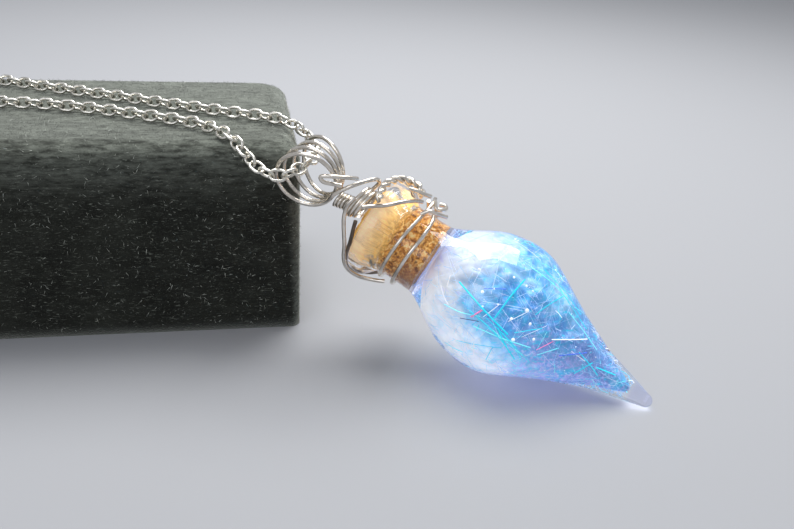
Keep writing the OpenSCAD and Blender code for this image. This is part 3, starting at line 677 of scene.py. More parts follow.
def lathed(name, profile, sides, matrix):
    """A closed surface turned from rows of height and radius. The first and last rows lie on the axis."""
    points, faces, rings = [], [], []
    for z, r in profile:
        if r < 1e-6:
            rings.append([len(points)])
            points.append(matrix @ Vector((0, 0, z)))
            continue
        rings.append(list(range(len(points), len(points) + sides)))
        for k in range(sides):
            a = 2 * math.pi * k / sides
            points.append(matrix @ Vector((r * math.cos(a), r * math.sin(a), z)))
    for low, high in zip(rings, rings[1:]):
        for k in range(sides):
            n = (k + 1) % sides
            if len(low) == 1:
                faces.append((low[0], high[n], high[k]))
            elif len(high) == 1:
                faces.append((low[k], low[n], high[0]))
            else:
                faces.append((low[k], low[n], high[n], high[k]))
    return new_mesh(name, points, faces)


def outline_radius(z, table):
    """The radius at a height, from rows of height and radius."""
    rows = np.array(table, float)
    return float(np.interp(z, rows[:, 0], rows[:, 1]))


def glass_curve():
    """The glass's outline from its tail to its mouth, without the round tip."""
    return smooth(OUTLINE, 5)


def hollow_curve():
    """The hollow's outline: one wall inside the glass, and the bore in the neck."""
    outer = glass_curve()
    lower = [(z, outline_radius(z, outer) - GLASS_WALL) for z in HOLLOW_ROWS]
    return smooth(lower + BORE, 4)


def socket_of(tree, name):
    """The identifier of a node tree's input."""
    return next(i.identifier for i in tree.interface.items_tree if i.in_out == "INPUT" and i.name == name)


def node_tree(name, **inputs):
    """A Geometry Nodes tree with its named inputs, and the sockets that give them."""
    tree = bpy.data.node_groups.new(name, "GeometryNodeTree")
    tree.interface.new_socket(name="Geometry", in_out="INPUT", socket_type="NodeSocketGeometry")
    for key, kind in inputs.items():
        tree.interface.new_socket(name=key, in_out="INPUT", socket_type="NodeSocket" + kind)
    tree.interface.new_socket(name="Geometry", in_out="OUTPUT", socket_type="NodeSocketGeometry")
    return tree, add(tree, "NodeGroupInput").outputs


def grown(name, source, tree, **values):
    """The plain mesh that a tree makes from a source mesh with these input values."""
    holder = bpy.data.objects.new(name + "_source", source)
    bpy.context.scene.collection.objects.link(holder)
    modifier = holder.modifiers.new("nodes", "NODES")
    modifier.node_group = tree
    for key, value in values.items():
        modifier[socket_of(tree, key)] = value
    graph = bpy.context.evaluated_depsgraph_get()
    mesh = bpy.data.meshes.new_from_object(holder.evaluated_get(graph), preserve_all_data_layers=True,
                                           depsgraph=graph)
    holder.modifiers.remove(modifier)
    bpy.data.objects.remove(holder)
    mesh.name = name
    # The source mesh leaves an empty first slot
    kept = next(m for m in mesh.materials if m)
    mesh.materials.clear()
    mesh.materials.append(kept)
    mesh.polygons.foreach_set("material_index", [0] * len(mesh.polygons))
    return mesh


def end_tree(tree, geometry, material):
    """Closes a tree with Realize Instances and Set Material."""
    real = add(tree, "GeometryNodeRealizeInstances", {"Geometry": geometry})
    dressed = add(tree, "GeometryNodeSetMaterial", {"Geometry": real, "Material": material})
    add(tree, "NodeGroupOutput", {"Geometry": dressed})


def wire_tree():
    """Round wire swept along every edge path of the source mesh."""
    tree, given = node_tree("round_wire", Diameter="Float", Sides="Int", Metal="Material")
    path = add(tree, "GeometryNodeMeshToCurve", {"Mesh": given["Geometry"]})
    radius = add(tree, "ShaderNodeMath", {0: given["Diameter"], 1: 0.5}, operation="MULTIPLY")
    section = add(tree, "GeometryNodeCurvePrimitiveCircle",
                  {"Resolution": given["Sides"], "Radius": radius})
    swept = add(tree, "GeometryNodeCurveToMesh",
                {"Curve": path, "Profile Curve": section, "Fill Caps": True})
    shaded = add(tree, "GeometryNodeSetShadeSmooth", {"Geometry": swept})
    end_tree(tree, shaded, given["Metal"])
    return tree


def path_mesh(name, routes):
    """Edge paths through lists of places in the frame."""
    points, edges = [], []
    for route in routes:
        first = len(points)
        points += [tuple(p) for p in route]
        edges += [(i, i + 1) for i in range(first, len(points) - 1)]
    return new_mesh(name, points, (), edges)


def link_tree():
    """An oval link on every point of the source mesh, lying along the point's own directions."""
    tree, given = node_tree("oval_links", Length="Float", Width="Float", Diameter="Float", Metal="Material")
    bend = add(tree, "ShaderNodeMath", {0: given["Width"], 1: given["Diameter"]}, operation="SUBTRACT")
    bend_radius = add(tree, "ShaderNodeMath", {0: bend, 1: 0.5}, operation="MULTIPLY")
    straight = add(tree, "ShaderNodeMath", {0: given["Length"], 1: given["Width"]}, operation="SUBTRACT")
    half = add(tree, "ShaderNodeMath", {0: straight, 1: 0.5}, operation="MULTIPLY")
    # 18 points, so that none lies where the two halves part
    ring = add(tree, "GeometryNodeCurvePrimitiveCircle", {"Resolution": 18, "Radius": bend_radius})
    position = add(tree, "ShaderNodeSeparateXYZ", {"Vector": add(tree, "GeometryNodeInputPosition")})
    side = add(tree, "ShaderNodeMath", {0: position}, operation="SIGN")
    shift = add(tree, "ShaderNodeMath", {0: side, 1: half}, operation="MULTIPLY")
    offset = add(tree, "ShaderNodeCombineXYZ", {"X": shift})
    oval = add(tree, "GeometryNodeSetPosition", {"Geometry": ring, "Offset": offset})
    radius = add(tree, "ShaderNodeMath", {0: given["Diameter"], 1: 0.5}, operation="MULTIPLY")
    section = add(tree, "GeometryNodeCurvePrimitiveCircle", {"Resolution": 8, "Radius": radius})
    link = add(tree, "GeometryNodeCurveToMesh", {"Curve": oval, "Profile Curve": section})
    shaded = add(tree, "GeometryNodeSetShadeSmooth", {"Geometry": link})
    along = add(tree, "GeometryNodeInputNamedAttribute", {"Name": "along"}, data_type="FLOAT_VECTOR")
    face = add(tree, "GeometryNodeInputNamedAttribute", {"Name": "face"}, data_type="FLOAT_VECTOR")
    turn = add(tree, "FunctionNodeAxesToRotation", {"Primary Axis": along, "Secondary Axis": face},
               primary_axis="X", secondary_axis="Z")
    points = add(tree, "GeometryNodeMeshToPoints", {"Mesh": given["Geometry"]})
    placed = add(tree, "GeometryNodeInstanceOnPoints",
                 {"Points": points, "Instance": shaded, "Rotation": turn})
    end_tree(tree, placed, given["Metal"])
    return tree


def loose_parts(node):
    """The separate solids of a CAD node, each as an array of its points."""
    mesh = bmesh.new()
    mesh.from_mesh(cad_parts[node].data)
    bmesh.ops.remove_doubles(mesh, verts=mesh.verts, dist=1e-7)
    mesh.verts.ensure_lookup_table()
    seen, parts = set(), []
    for start in mesh.verts:
        if start.index in seen:
            continue
        stack, part = [start], []
        seen.add(start.index)
        while stack:
            v = stack.pop()
            part.append(tuple(v.co))
            for edge in v.link_edges:
                other = edge.other_vert(v)
                if other.index not in seen:
                    seen.add(other.index)
                    stack.append(other)
        parts.append(np.array(part))
    mesh.free()
    return parts


def link_points(name, node):
    """A point for each link of a CAD node, with the directions along the link and square to it."""
    centres, along, face = [], [], []
    for part in loose_parts(node):
        middle = part.mean(0)
        spread = np.linalg.svd(part - middle, full_matrices=False)[2]
        centres.append(middle)
        along.append(spread[0])
        face.append(spread[2])
    mesh = new_mesh(name, centres)
    for key, values in (("along", along), ("face", face)):
        attribute = mesh.attributes.new(key, "FLOAT_VECTOR", "POINT")
        attribute.data.foreach_set("vector", np.array(values, np.float32).ravel())
    return mesh


def bail_route():
    """The bail's four turns, which meet at its root and fan out from it, with their two ends."""
    root, first = np.array(BAIL_ROOT), unit(np.array(BAIL_OUT, float))
    up = np.array([0, math.cos(math.radians(BAIL_TILT)), math.sin(math.radians(BAIL_TILT))])
    second = unit(up - (up @ first) * first)
    axis = np.cross(first, second)
    turns = np.array(BAIL_TURNS, float)
    coil = []
    for k in range(BAIL_RINGS * len(turns) + 1):
        turn = k / BAIL_RINGS
        lean = math.radians(np.interp(turn - 0.5, range(len(turns)), turns[:, 0]))
        d = np.interp(turn - 0.5, range(len(turns)), turns[:, 1])
        out = math.cos(lean) * first + math.sin(lean) * axis
        a = 2 * math.pi * turn
        coil.append(root + axis * BAIL_STEP * (turn - len(turns) / 2) + out * d / 2 * (1 - math.cos(a))
                    - second * BAIL_OVAL * d / 2 * math.sin(a))
    lead = smooth(BAIL_LEAD + [tuple(coil[0]), tuple(coil[2])], 7)[:-8]
    tail = smooth([tuple(coil[-1])] + BAIL_TAIL, 5)
    return np.vstack([lead, coil[:-1], tail])


def winding(first, last, turns, radii_first, radii_last, start, skew, per_turn=20):
    """A winding between two centres, each with its two radii. It starts at an angle in degrees, and
    skew leans its turns."""
    first, last = np.array(first), np.array(last)
    route = []
    for k in range(int(turns * per_turn) + 1):
        f = k / (turns * per_turn)
        a = 2 * math.pi * k / per_turn + math.radians(start)
        wide = radii_first[0] + (radii_last[0] - radii_first[0]) * f
        deep = radii_first[1] + (radii_last[1] - radii_first[1]) * f
        off = [skew * math.sin(a), wide * math.sin(a), deep * math.cos(a)]
        route.append(first + (last - first) * f + off)
    return route


def twisted(route):
    """Two strands wound round each other along a route."""
    middle = smooth(route, 12)
    way = np.gradient(middle, axis=0)
    way /= np.linalg.norm(way, axis=1)[:, None]
    passed = np.concatenate([[0], np.cumsum(np.linalg.norm(np.diff(middle, axis=0), axis=1))])
    across, strands = np.array([0, 0, 1.0]), ([], [])
    for p, t, s in zip(middle, way, passed):
        across = unit(across - (across @ t) * t)
        a = 2 * math.pi * s / TWIST_PITCH
        offset = TWIST_R * (math.cos(a) * across + math.sin(a) * np.cross(t, across))
        strands[0].append(p - offset)
        strands[1].append(p + offset)
    return strands


def collar(ends, start, stop, along, sag, drift):
    """A turn of wire round the neck, with its two ends standing off it."""
    arc = []
    for f in np.linspace(0, 1, 9):
        a = math.radians(start + (stop - start) * f)
        place = along - sag * math.sin(math.pi * f) - drift * f
        arc.append((place, COLLAR_R * math.cos(a), COLLAR_R * math.sin(a)))
    return smooth(ends[0] + arc + ends[1], 6)


def clear_bottle(settings):
    """The bottle: from the tail's tip up its outside, over the lip and back down the hollow."""
    steps = 8
    turns = [math.pi / 2 * k / steps for k in range(1, steps + 1)]
    tip = [(TIP_Z - TIP_R, 0.0)] + [(TIP_Z - TIP_R * math.cos(a), TIP_R * math.sin(a)) for a in turns]
    outer = [tuple(p) for p in glass_curve()]
    inner = [tuple(p) for p in hollow_curve()][::-1] + [(CAVITY_END_Z, 0.0)]
    mesh = lathed("clear_bottle", tip + outer + inner, settings.sides, bottle_matrix())
    mesh.materials.append(soda_glass(settings))
    mesh.materials.append(wetted_glass(settings))
    # The second material goes where gel or cork touches the hollow
    back = bottle_matrix().inverted()
    inner_from = (len(tip) + len(outer)) * settings.sides
    for face in mesh.polygons[inner_from:]:
        height = (back @ face.center).z
        in_gel, on_cork = height < FILLING_TOP_Z, STOPPER_FOOT_Z < height < MOUTH_Z - LIP_ROUND
        face.material_index = 1 if in_gel or on_cork else 0
    # It is dry above the gel, and most in the upper neck. It is thickest, and so bluest, at the
    # shoulder and at the tail's end
    heights = [(back @ v.co).z for v in mesh.vertices]
    set_values(mesh, dry=[gone(z, 14, 14.5) * (0.3 + 0.7 * gone(z, 20, 22)) for z in heights],
               thick=[max(gone(abs(z - SHOULDER_Z), 1.8, 0), 0.3 * gone(z, -26, -27)) for z in heights])
    return mesh


def cork_plug(settings):
    """The cork: a chamfered plug that follows the bore, pitted all over."""
    hollow = hollow_curve()
    chamfer, rows, rings, sides, widest = 0.4, 60, 8, 120, 6.3
    low, high = STOPPER_FOOT_Z, STOPPER_TOP_Z
    foot = outline_radius(low, hollow) - FILL_GAP - chamfer
    profile = [(low, 0.0)] + [(low, foot * k / rings) for k in range(1, rings + 1)]
    for k in range(rows + 1):
        z = low + chamfer + (high - low - 2 * chamfer) * k / rows
        profile.append((z, min(outline_radius(min(z, MOUTH_Z - 0.5), hollow), widest) - FILL_GAP))
    rim = profile[-1][1] - chamfer
    profile += [(high, rim * k / rings) for k in range(rings, 0, -1)] + [(high, 0.0)]
    mesh = lathed("cork_plug", profile, sides, bottle_matrix())
    back = bottle_matrix().inverted()
    middle = bottle_matrix() @ Vector((0, 0, (low + high) / 2))
    mouth, under, round_it = [], [], []
    lip_height, end_from, end_to = 5.5, 0.7, 0.2
    for v in mesh.vertices:
        p = back @ v.co
        # The share of painted lip light; none on the cut end, which stands free of the glass
        mouth.append(gone(p.z, LIP_FOOT_Z, LIP_FOOT_Z + lip_height)
                     * gone(p.z, high - end_to, high - end_from))
        # Painted shade: on the lower side, near the foot
        under.append(gone(p.y, -1, -4) * gone(p.z, 20, 17))
        round_it.append(abs(math.atan2(p.y, p.x)))
        # Coarse and fine grain together, cut off so that pits stand apart
        grain = noise.noise(p * 1.1) + 0.5 * noise.noise(p * 2.7 + Vector((5, 1, 3)))
        pit = max(0.0, grain - 0.15) * settings.pit_depth * 1.6
        v.co += (middle - v.co).normalized() * min(pit, settings.pit_depth)
    set_values(mesh, mouth=mouth, under=under, round=round_it)
    return mesh


def shimmer_cloud():
    """The cloud of fine film: a lumpy body well inside the hollow, with the values that its colours
    follow from the neck to the tail and from its upper side to its lower one."""
    hollow = hollow_curve()
    share, rows, sides, end_gap = 0.7, 110, 130, 0.8
    low, high = CAVITY_END_Z + end_gap, FILLING_TOP_Z - end_gap
    profile = []
    for k, z in enumerate(np.linspace(low, high, rows)):
        closing = math.sqrt(max(0.0, 1 - (2 * k / (rows - 1) - 1) ** 10))
        profile.append((z, outline_radius(z, hollow) * share * closing))
    profile[0], profile[-1] = (low, 0.0), (high, 0.0)
    turn = bottle_matrix()
    mesh = lathed("shimmer_cloud", profile, sides, turn)
    back = turn.inverted()
    values = {"blue": [], "tail": [], "violet": [], "painted_glow": [], "upper": []}
    for v in mesh.vertices:
        p = back @ v.co
        past_neck = gone(p.z, 7.5, 0.5)
        # Broad, middling and fine lumps, most past the neck
        lumps = 0.14 * noise.noise(p * 0.3) + 0.1 * noise.noise(p * 0.8) + 0.05 * noise.noise(p * 2.1)
        swell = 1 + lumps * (0.4 + 0.6 * past_neck)
        v.co = turn @ Vector((p.x * swell, p.y * swell, p.z))
        above_foot = gone(p.y, -8.5, -2.5)
        up = (turn.to_3x3() @ Vector((p.x, p.y, 0))).normalized().z
        below = held(0.35 - 0.9 * up)
        painted_pale_rim = 0.3 * gone(up, 0.7, 0.9)
        # Blue starts past the neck, and is weaker at the foot and, as painted light, along the upper rim
        values["blue"].append(past_neck * (0.05 + 0.95 * above_foot) * (1 - painted_pale_rim))
        values["tail"].append(gone(p.z, -9, -16))
        values["violet"].append(gone(p.z, -3, -8) * gone(p.y, 3, -2))
        # Painted glow on the side that faces down, painted shade on the side that faces up
        values["painted_glow"].append(0.16 + 0.42 * below)
        values["upper"].append((0.25 + 0.4 * gone(p.z, 0, 6)) * held(1.4 * up))
    set_values(mesh, **values)
    return mesh


def rounded_block(settings):
    """The block: rows of a rounded outline, drawn in over the rounding of the top. Its upright edges
    are worn rounder towards the top."""
    half_l, half_w = (BLOCK_HIGH.x - BLOCK_LOW.x) / 2, (BLOCK_HIGH.y - BLOCK_LOW.y) / 2
    height, top_r = BLOCK_HIGH.z, settings.top_radius
    wall_rows, top_rows, per_corner = 12, 10, 10
    rows = [(0.0, height * k / wall_rows) for k in range(wall_rows - 1)]
    for k in range(top_rows + 1):
        a = math.pi / 2 * k / top_rows
        rows.append((top_r * (1 - math.cos(a)), height - top_r * (1 - math.sin(a))))
    points, faces, opened = [], [], []
    for inset, z in rows:
        r = settings.edge_radius + (settings.worn_radius - settings.edge_radius) * (z / height) ** 1.5
        for corner, (sx, sy) in enumerate(((1, 1), (-1, 1), (-1, -1), (1, -1))):
            for k in range(per_corner + 1):
                a = math.pi / 2 * (corner + k / per_corner)
                x = sx * (half_l - inset - r) + r * math.cos(a)
                points.append((x, sy * (half_w - inset - r) + r * math.sin(a), z))
                # Painted sheen: how much paler the flocking is painted here
                opened.append(painted_pile_sheen(x / half_l, a, z - height, top_r))
    ring = 4 * (per_corner + 1)
    for row in range(len(rows) - 1):
        for k in range(ring):
            n = (k + 1) % ring
            faces.append((row * ring + k, row * ring + n, (row + 1) * ring + n, (row + 1) * ring + k))
    faces.append(tuple(reversed(range(ring))))
    faces.append(tuple(range((len(rows) - 1) * ring, len(rows) * ring)))
    mesh = new_mesh("flocked_block", points, faces)
    set_values(mesh, opened=opened)
    return mesh


def painted_pile_sheen(across, around, from_top, top_r):
    """How much painted sheen the flocking gets, standing in for light grazing the pile: a little on the
    upright edges and near the top, and most over the rounding of the top, more towards the right."""
    on_edge = 0.02 + 0.2 * math.sin(2 * around) ** 2
    near_top = 0.2 * gone(from_top, -14 * MM, -4 * MM) ** 2
    rounding = gone(from_top, -top_r, 0)
    to_right = gone(across, -1, 1)
    over_top = 0.55 * rounding * (1 - 0.45 * rounding ** 4) * (0.35 + 0.65 * to_right)
    return max(on_edge, near_top, over_top)


def pile_tree():
    """Short pointed fibres scattered over the source mesh, each leaned, turned and scaled at random.
    Pale ones are loose lint: longer and thicker, so that they show."""
    tree, given = node_tree("loose_pile", Density="Float", Height="Float", Seed="Int", Fibre="Material")
    spots = add(tree, "GeometryNodeDistributePointsOnFaces",
                {"Mesh": given["Geometry"], "Density": given["Density"], "Seed": given["Seed"]})
    tone_seed, lean_seed, length_seed = 5, 7, 9
    tone = add(tree, "FunctionNodeRandomValue", {"Seed": tone_seed}, data_type="FLOAT")
    toned = add(tree, "GeometryNodeStoreNamedAttribute", {"Geometry": spots, "Name": "tint", "Value": tone},
                data_type="FLOAT", domain="POINT")
    widest_lean, full_turn = 1.35, 6.28
    blade = add(tree, "GeometryNodeMeshCone",
                {"Vertices": 3, "Radius Top": 0.0, "Radius Bottom": 0.02 * MM, "Depth": 1.0 * MM},
                fill_type="NGON")
    lean = add(tree, "FunctionNodeRandomValue",
               {"Min": (-widest_lean, -widest_lean, 0.0),
                "Max": (widest_lean, widest_lean, full_turn), "Seed": lean_seed},
               data_type="FLOAT_VECTOR")
    turned = add(tree, "FunctionNodeRotateRotation", {0: spots.outputs["Rotation"], 1: lean},
                 rotation_space="LOCAL")
    drawn = add(tree, "FunctionNodeRandomValue", {"Min": 0.25, "Max": 1.0, "Seed": length_seed},
                data_type="FLOAT")
    tall = add(tree, "ShaderNodeMath", {0: drawn, 1: given["Height"]}, operation="MULTIPLY")
    blades = add(tree, "ShaderNodeMath", {0: tall, 1: 1 / MM}, operation="MULTIPLY")
    longer = add(tree, "ShaderNodeMapRange",
                 {"Value": tone, "From Min": 0.85, "From Max": 0.95, "To Min": 1, "To Max": 2})
    length_scale = add(tree, "ShaderNodeMath", {0: blades, 1: longer}, operation="MULTIPLY")
    thicker = add(tree, "ShaderNodeMapRange",
                  {"Value": tone, "From Min": 0.85, "From Max": 0.95, "To Min": 1, "To Max": 2.4})
    size = add(tree, "ShaderNodeCombineXYZ", {"X": thicker, "Y": thicker, "Z": length_scale})
    # No fibre stands so low that it would reach below the floor
    position = add(tree, "ShaderNodeSeparateXYZ", {"Vector": add(tree, "GeometryNodeInputPosition")})
    reach = add(tree, "ShaderNodeMath", {0: given["Height"], 1: 2.1}, operation="MULTIPLY")
    above = add(tree, "ShaderNodeMath", {0: position.outputs["Z"], 1: reach}, operation="GREATER_THAN")
    placed = add(tree, "GeometryNodeInstanceOnPoints", {
        "Points": toned, "Selection": above, "Instance": blade, "Rotation": turned, "Scale": size})
    end_tree(tree, placed, given["Fibre"])
    return tree


def film_tree():
    """A thin three-sided strip swept along every edge path, with the width and tint of its path."""
    tree, given = node_tree("film_strips", Width="Float", Film="Material")
    path = add(tree, "GeometryNodeMeshToCurve", {"Mesh": given["Geometry"]})
    wide = add(tree, "GeometryNodeInputNamedAttribute", {"Name": "wide"}, data_type="FLOAT")
    half = add(tree, "ShaderNodeMath", {0: given["Width"], 1: 0.5}, operation="MULTIPLY")
    section = add(tree, "GeometryNodeCurvePrimitiveCircle", {"Resolution": 3, "Radius": half})
    swept = add(tree, "GeometryNodeCurveToMesh",
                {"Curve": path, "Profile Curve": section, "Scale": wide, "Fill Caps": True})
    end_tree(tree, swept, given["Film"])
    return tree


def bubble_tree():
    """A bead on every point of the source mesh, as big as the point says."""
    tree, given = node_tree("bubbles", Radius="Float", Air="Material")
    bead = add(tree, "GeometryNodeMeshIcoSphere", {"Radius": given["Radius"], "Subdivisions": 2})
    shaded = add(tree, "GeometryNodeSetShadeSmooth", {"Geometry": bead})
    size = add(tree, "GeometryNodeInputNamedAttribute", {"Name": "size"}, data_type="FLOAT")
    points = add(tree, "GeometryNodeMeshToPoints", {"Mesh": given["Geometry"]})
    placed = add(tree, "GeometryNodeInstanceOnPoints",
                 {"Points": points, "Instance": shaded, "Scale": size})
    end_tree(tree, placed, given["Air"])
    return tree


def at_front(along, across, share, hollow):
    """A place on the gel's front, at a share of the hollow's radius: along, across and out from the
    bottle."""
    radius = outline_radius(-along, hollow) * share
    return along, across, math.sqrt(max(0.05, radius ** 2 - across ** 2))


def strewn_fibre(draw, hollow):
    """Three places of a fine fibre in the hollow, mostly near the glass and lying along it. Fibres are
    shorter in the tail, and their ends bow inwards."""
    wall_gap, tail_gap, top_gap, flattened, most_bow = 0.15, 1, 0.4, 0.75, 0.3
    z = draw.uniform(CAVITY_END_Z + tail_gap, FILLING_TOP_Z - top_gap)
    radius = (outline_radius(z, hollow) - wall_gap) * math.sqrt(draw.uniform(0.5, 0.97))
    a = draw.uniform(0, 2 * math.pi)
    middle = Vector((radius * math.cos(a), radius * math.sin(a), z))
    way = Vector((draw.gauss(0, 1), draw.gauss(0, 1), draw.gauss(0, 1.3))).normalized()
    out = Vector((middle.x, middle.y, 0)).normalized()
    way = (way - out * way.dot(out) * flattened).normalized()
    half = draw.choice(FIBRE_HALVES) * min(1, radius / 5 + 0.3)
    bow = out * -draw.uniform(0, most_bow)
    return [middle - way * half + bow, middle, middle + way * half + bow]


def in_hollow(p, hollow):
    """Whether a place lies in the gel, clear of the glass."""
    wall_gap, tail_gap, top_gap = 0.06, 0.6, 0.3
    radius = outline_radius(p.z, hollow) - wall_gap
    return math.hypot(p.x, p.y) < radius and CAVITY_END_Z + tail_gap < p.z < FILLING_TOP_Z - top_gap


def fibre_paths(settings):
    """The fibres' paths in the gel: fine ones strewn inside the hollow, and the strips that show best."""
    draw = random.Random(settings.seed)
    hollow = hollow_curve()
    turn = bottle_matrix()
    routes, tints, widths = [], [], []
    while len(routes) < settings.fibre_count:
        route = strewn_fibre(draw, hollow)
        if not all(in_hollow(p, hollow) for p in route):
            continue
        # Fewer flash near the neck, where the gel is milky
        flashing = draw.random() < (FLASHING_AT_NECK if route[1].z > MILKY_FROM_Z else FLASHING)
        routes.append([turn @ p for p in route])
        tints.append(draw.choice(FLASH_TINTS) if flashing else draw.uniform(*CALM_TINTS))
        widths.append(draw.uniform(*(FLASH_WIDTHS if flashing else CALM_WIDTHS)))
    for tint, width, places in SHOWN_STRIPS:
        bent = smooth([(*place, 0) for place in places], 5)
        routes.append(on_bottle([at_front(along, across, STRIPS_AT, hollow) for along, across, flat in bent]))
        tints.append(tint)
        widths.append(width)
    mesh = path_mesh("fibre_paths", routes)
    counts = [len(route) for route in routes]
    set_values(mesh, tint=np.repeat(tints, counts), wide=np.repeat(widths, counts))
    return mesh


def bubble_points(settings):
    """The bubbles' places in the gel: those that show best at its front, and small ones strewn round
    them near the glass."""
    draw = random.Random(settings.seed + 1)
    hollow = hollow_curve()
    turn = bottle_matrix()
    points = on_bottle([at_front(along, across, BUBBLES_AT, hollow) for along, across, size in SHOWN_BUBBLES])
    sizes = [size for along, across, size in SHOWN_BUBBLES]
    lowest, top_gap, wall_gap = -20, 1, 0.7
    while len(points) < settings.bubble_count:
        z = draw.uniform(lowest, FILLING_TOP_Z - top_gap)
        radius = (outline_radius(z, hollow) - wall_gap) * draw.uniform(0.72, 0.98)
        a = draw.uniform(0, 2 * math.pi)
        sizes.append(draw.choice(BUBBLE_SIZES))
        points.append(turn @ Vector((radius * math.cos(a), radius * math.sin(a), z)))
    mesh = new_mesh("bubble_points", points)
    set_values(mesh, size=sizes)
    return mesh


# Stage

def photo_camera():
    """The camera, turned to its compass direction, tipped down and rolled."""
    heading, pitch, roll = (math.radians(a) for a in (CAMERA_RIGHT_OF_Y, CAMERA_PITCH, CAMERA_ROLL))
    forward = Vector((math.sin(heading) * math.cos(pitch), math.cos(heading) * math.cos(pitch),
                      -math.sin(pitch)))
    level = Vector((math.cos(heading), -math.sin(heading), 0))
    upright = level.cross(forward)
    right = level * math.cos(roll) + upright * math.sin(roll)
    up = upright * math.cos(roll) - level * math.sin(roll)
    camera = bpy.data.objects.new("camera", bpy.data.cameras.new("camera"))
    turn = Matrix((right, up, -forward)).transposed().to_4x4()
    camera.matrix_world = Matrix.Translation(Vector(CAMERA_AT) * MM) @ turn
    camera.data.sensor_width = SENSOR_MM
    camera.data.lens = SENSOR_MM * FOCAL_PX / FRAME_WIDTH_PX
    camera.data.clip_start = 5 * MM
    return camera


def soft_lamps(settings):
    """A wide soft lamp over and behind the bottle, which its belly mirrors, and a weak one in front."""
    lamps = []
    for name, at, size, share, tint in SOFT_LAMPS:
        data = bpy.data.lights.new(name, "AREA")
        data.shape = "RECTANGLE"
        data.size, data.size_y = size
        data.energy = settings.key_power * share
        data.color = linear(tint)
        lamp = bpy.data.objects.new(name, data)
        lamp.location = at
        lamp.rotation_euler = (Vector(LAMPS_AIM) - Vector(at)).to_track_quat("-Z", "Y").to_euler()
        lamps.append(lamp)
    return lamps


# Operators: one for each piece or group of like pieces, and one for the stage

class PENDANT_OT_block(bpy.types.Operator):
    """Build the flocked display block with its pile"""
    bl_idname = "pendant.block"
    bl_label = "Display block"

    def execute(self, context):
        settings = context.scene.pendant_block
        mesh = rounded_block(settings)
        pile = grown("block_pile", mesh, pile_tree(), Density=settings.pile_density,
                     Height=settings.pile_height, Seed=PILE_SEED, Fibre=loose_pile())
        block = finished("flocked_block", mesh, flocking(settings), "root", "display_block")
        loose = finished("block_pile", pile, pile.materials[0], "root", smooth_faces=False)
        return {"FINISHED"}


class PENDANT_OT_glass(bpy.types.Operator):
    """Build the blown glass bottle"""
    bl_idname = "pendant.glass"
    bl_label = "Glass bottle"

    def execute(self, context):
        mesh = clear_bottle(context.scene.pendant_glass)
        piece = finished("clear_bottle", mesh, mesh.materials[0], "root", "glass_bottle")
        return {"FINISHED"}


class PENDANT_OT_cork(bpy.types.Operator):
    """Build the cork with its pits"""
    bl_idname = "pendant.cork"
    bl_label = "Cork stopper"

    def execute(self, context):
        settings = context.scene.pendant_cork
        piece = finished("cork_plug", cork_plug(settings), cut_cork(settings), "root", "cork_stopper")
        return {"FINISHED"}


class PENDANT_OT_filling(bpy.types.Operator):
    """Build the gel's fibre cloud, its fibres and its bubbles"""
    bl_idname = "pendant.filling"
    bl_label = "Fibre filling"

    def execute(self, context):
        settings = context.scene.pendant_filling
        cloud = finished("shimmer_cloud", shimmer_cloud(), shimmer_gel(settings), "root",
                         "fibre_filling")
        fibres = grown("shimmer_fibres", fibre_paths(settings), film_tree(), Width=settings.fibre_width,
                       Film=shimmer_film())
        strips = finished("shimmer_fibres", fibres, fibres.materials[0], "root", smooth_faces=False)
        beads = grown("gel_bubbles", bubble_points(settings), bubble_tree(),
                      Radius=BUBBLE_R * MM, Air=trapped_air())
        bubbles = finished("gel_bubbles", beads, beads.materials[0], "root")
        return {"FINISHED"}


class PENDANT_OT_wires(bpy.types.Operator):
    """Build the bail, its wraps and the wires on the neck"""
    bl_idname = "pendant.wires"
    bl_label = "Wires"

    def execute(self, context):
        settings = context.scene.pendant_metal
        bright = plated("silver_plated_wire", settings.wire_colour, rough=0.2, worn=0.4)
        # Painted shade: the darker, duller plating goes on the core inside the stem wrap and the wire under
        # the neck, where shade falls
        shaded_wire = plated("shaded_dark_wire", settings.shaded_wire_colour, rough=0.42, worn=0.6)
        tree = wire_tree()
        pieces = {
            "bail_coil": ([bail_route()], WIRE_D, bright),
            "stem_core": ([smooth(CORE, 6)], CORE_D, shaded_wire),
            "stem_wrap": ([winding(*STEM_WRAP)], WRAP_D, bright),
            "neck_wrap": ([winding(*NECK_WRAP)], WIRE_D, bright),
            "hook_wire": ([smooth(HOOK, 8)], WIRE_D, bright),
            "twisted_wire": (twisted(TWIST), WIRE_D, bright),
            "lip_wire": ([smooth(LIP, 8)], WIRE_D, bright),
            "side_wire": ([smooth(SIDE, 7)], WIRE_D, bright),
            "under_wire": ([smooth(UNDER, 7)], WIRE_D, shaded_wire),
            "collar_wires": ([collar(*UPPER_COLLAR), collar(*LOWER_COLLAR)], WIRE_D, bright),
            "wire_curls": ([smooth(CURL, 8), smooth(CUT_END, 6), smooth(SHOULDER, 6)], WIRE_D, bright),
        }
        for node, (routes, diameter, metal) in pieces.items():
            name = node.replace("_", "-")
            source = path_mesh(node + "_path", [on_bottle(route) for route in routes])
            mesh = grown(name, source, tree, Diameter=diameter * MM, Sides=settings.wire_sides,
                         Metal=metal)
            piece = finished(name, mesh, metal, "root", node)
        return {"FINISHED"}


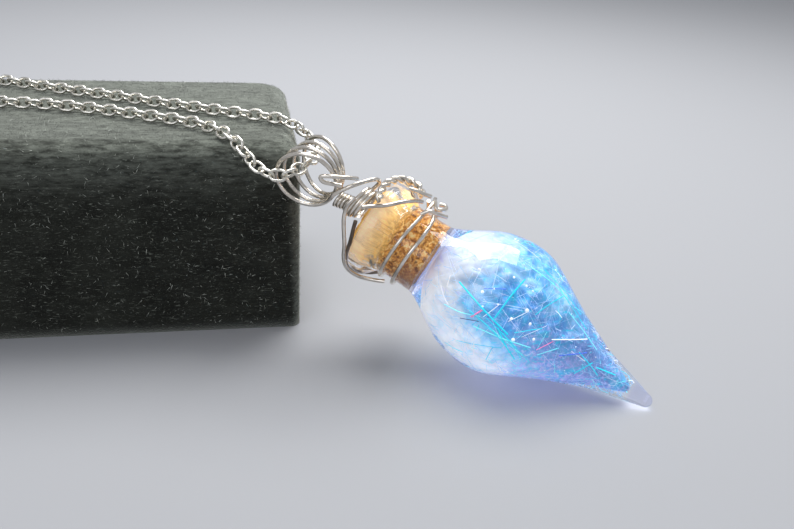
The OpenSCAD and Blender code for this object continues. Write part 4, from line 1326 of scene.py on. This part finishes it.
class PENDANT_OT_chain(bpy.types.Operator):
    """Build the chain's links and the clasp link"""
    bl_idname = "pendant.chain"
    bl_label = "Chain"

    def execute(self, context):
        settings = context.scene.pendant_metal
        metal = plated("plated_links", settings.chain_colour, rough=0.28, worn=0.3)
        tree = link_tree()
        link = (settings.link_length, settings.link_width, settings.link_wire)
        clasp = [size * MM for size in CLASP_SIZE]
        for node, size in (("chain_back", link), ("chain_front", link), ("clasp_link", clasp)):
            name = node.replace("_", "-")
            mesh = grown(name, link_points(node + "_points", node), tree, Length=size[0],
                         Width=size[1], Diameter=size[2], Metal=metal)
            piece = finished(name, mesh, metal, "root", node)
        return {"FINISHED"}


class PENDANT_OT_stage(bpy.types.Operator):
    """Build the floor, the lights and the camera"""
    bl_idname = "pendant.stage"
    bl_label = "Stage"

    def execute(self, context):
        settings = context.scene.pendant_stage
        scene = context.scene
        half = settings.floor_size / 2
        corners = [(-half, -half, 0), (half, -half, 0), (half, half, 0), (-half, half, 0)]
        floor = bpy.data.objects.new("floor", new_mesh("floor", corners, [(0, 1, 2, 3)]))
        floor.data.materials.append(matt_floor(settings))
        scene.collection.objects.link(floor)
        scene.camera = photo_camera()
        scene.collection.objects.link(scene.camera)
        for lamp in soft_lamps(settings):
            scene.collection.objects.link(lamp)
        world = bpy.data.worlds.new("studio")
        world.use_nodes = True
        background = world.node_tree.nodes["Background"]
        background.inputs["Color"].default_value = linear(WORLD_COLOUR, 1)
        background.inputs["Strength"].default_value = WORLD_STRENGTH
        scene.world = world
        scene.view_settings.view_transform = "Standard"
        return {"FINISHED"}


class PENDANT_PT_panel(bpy.types.Panel):
    """Lists the pendant's pieces"""
    bl_idname = "PENDANT_PT_panel"
    bl_label = "Bottle pendant"
    bl_space_type = "VIEW_3D"
    bl_region_type = "UI"
    bl_category = "Pendant"

    def draw(self, context):
        for operator in OPERATORS:
            self.layout.operator(operator.bl_idname)
        for key in SETTINGS:
            box = self.layout.box()
            group = getattr(context.scene, key)
            for name in group.__annotations__:
                box.prop(group, name)


SETTINGS = {
    "pendant_block": BlockSettings,
    "pendant_glass": GlassSettings,
    "pendant_cork": CorkSettings,
    "pendant_filling": FillingSettings,
    "pendant_metal": MetalSettings,
    "pendant_stage": StageSettings,
}
OPERATORS = (PENDANT_OT_stage, PENDANT_OT_block, PENDANT_OT_glass, PENDANT_OT_cork,
             PENDANT_OT_filling, PENDANT_OT_wires, PENDANT_OT_chain)


def register():
    for cls in (*SETTINGS.values(), *OPERATORS, PENDANT_PT_panel):
        bpy.utils.register_class(cls)
    for key, cls in SETTINGS.items():
        setattr(bpy.types.Scene, key, bpy.props.PointerProperty(type=cls))


def unregister():
    for key in SETTINGS:
        delattr(bpy.types.Scene, key)
    for cls in reversed((*SETTINGS.values(), *OPERATORS, PENDANT_PT_panel)):
        bpy.utils.unregister_class(cls)


def main():
    register()
    bpy.ops.pendant.stage()
    bpy.ops.pendant.block()
    bpy.ops.pendant.glass()
    bpy.ops.pendant.cork()
    bpy.ops.pendant.filling()
    bpy.ops.pendant.wires()
    bpy.ops.pendant.chain()


if __name__ == "__main__":
    main()
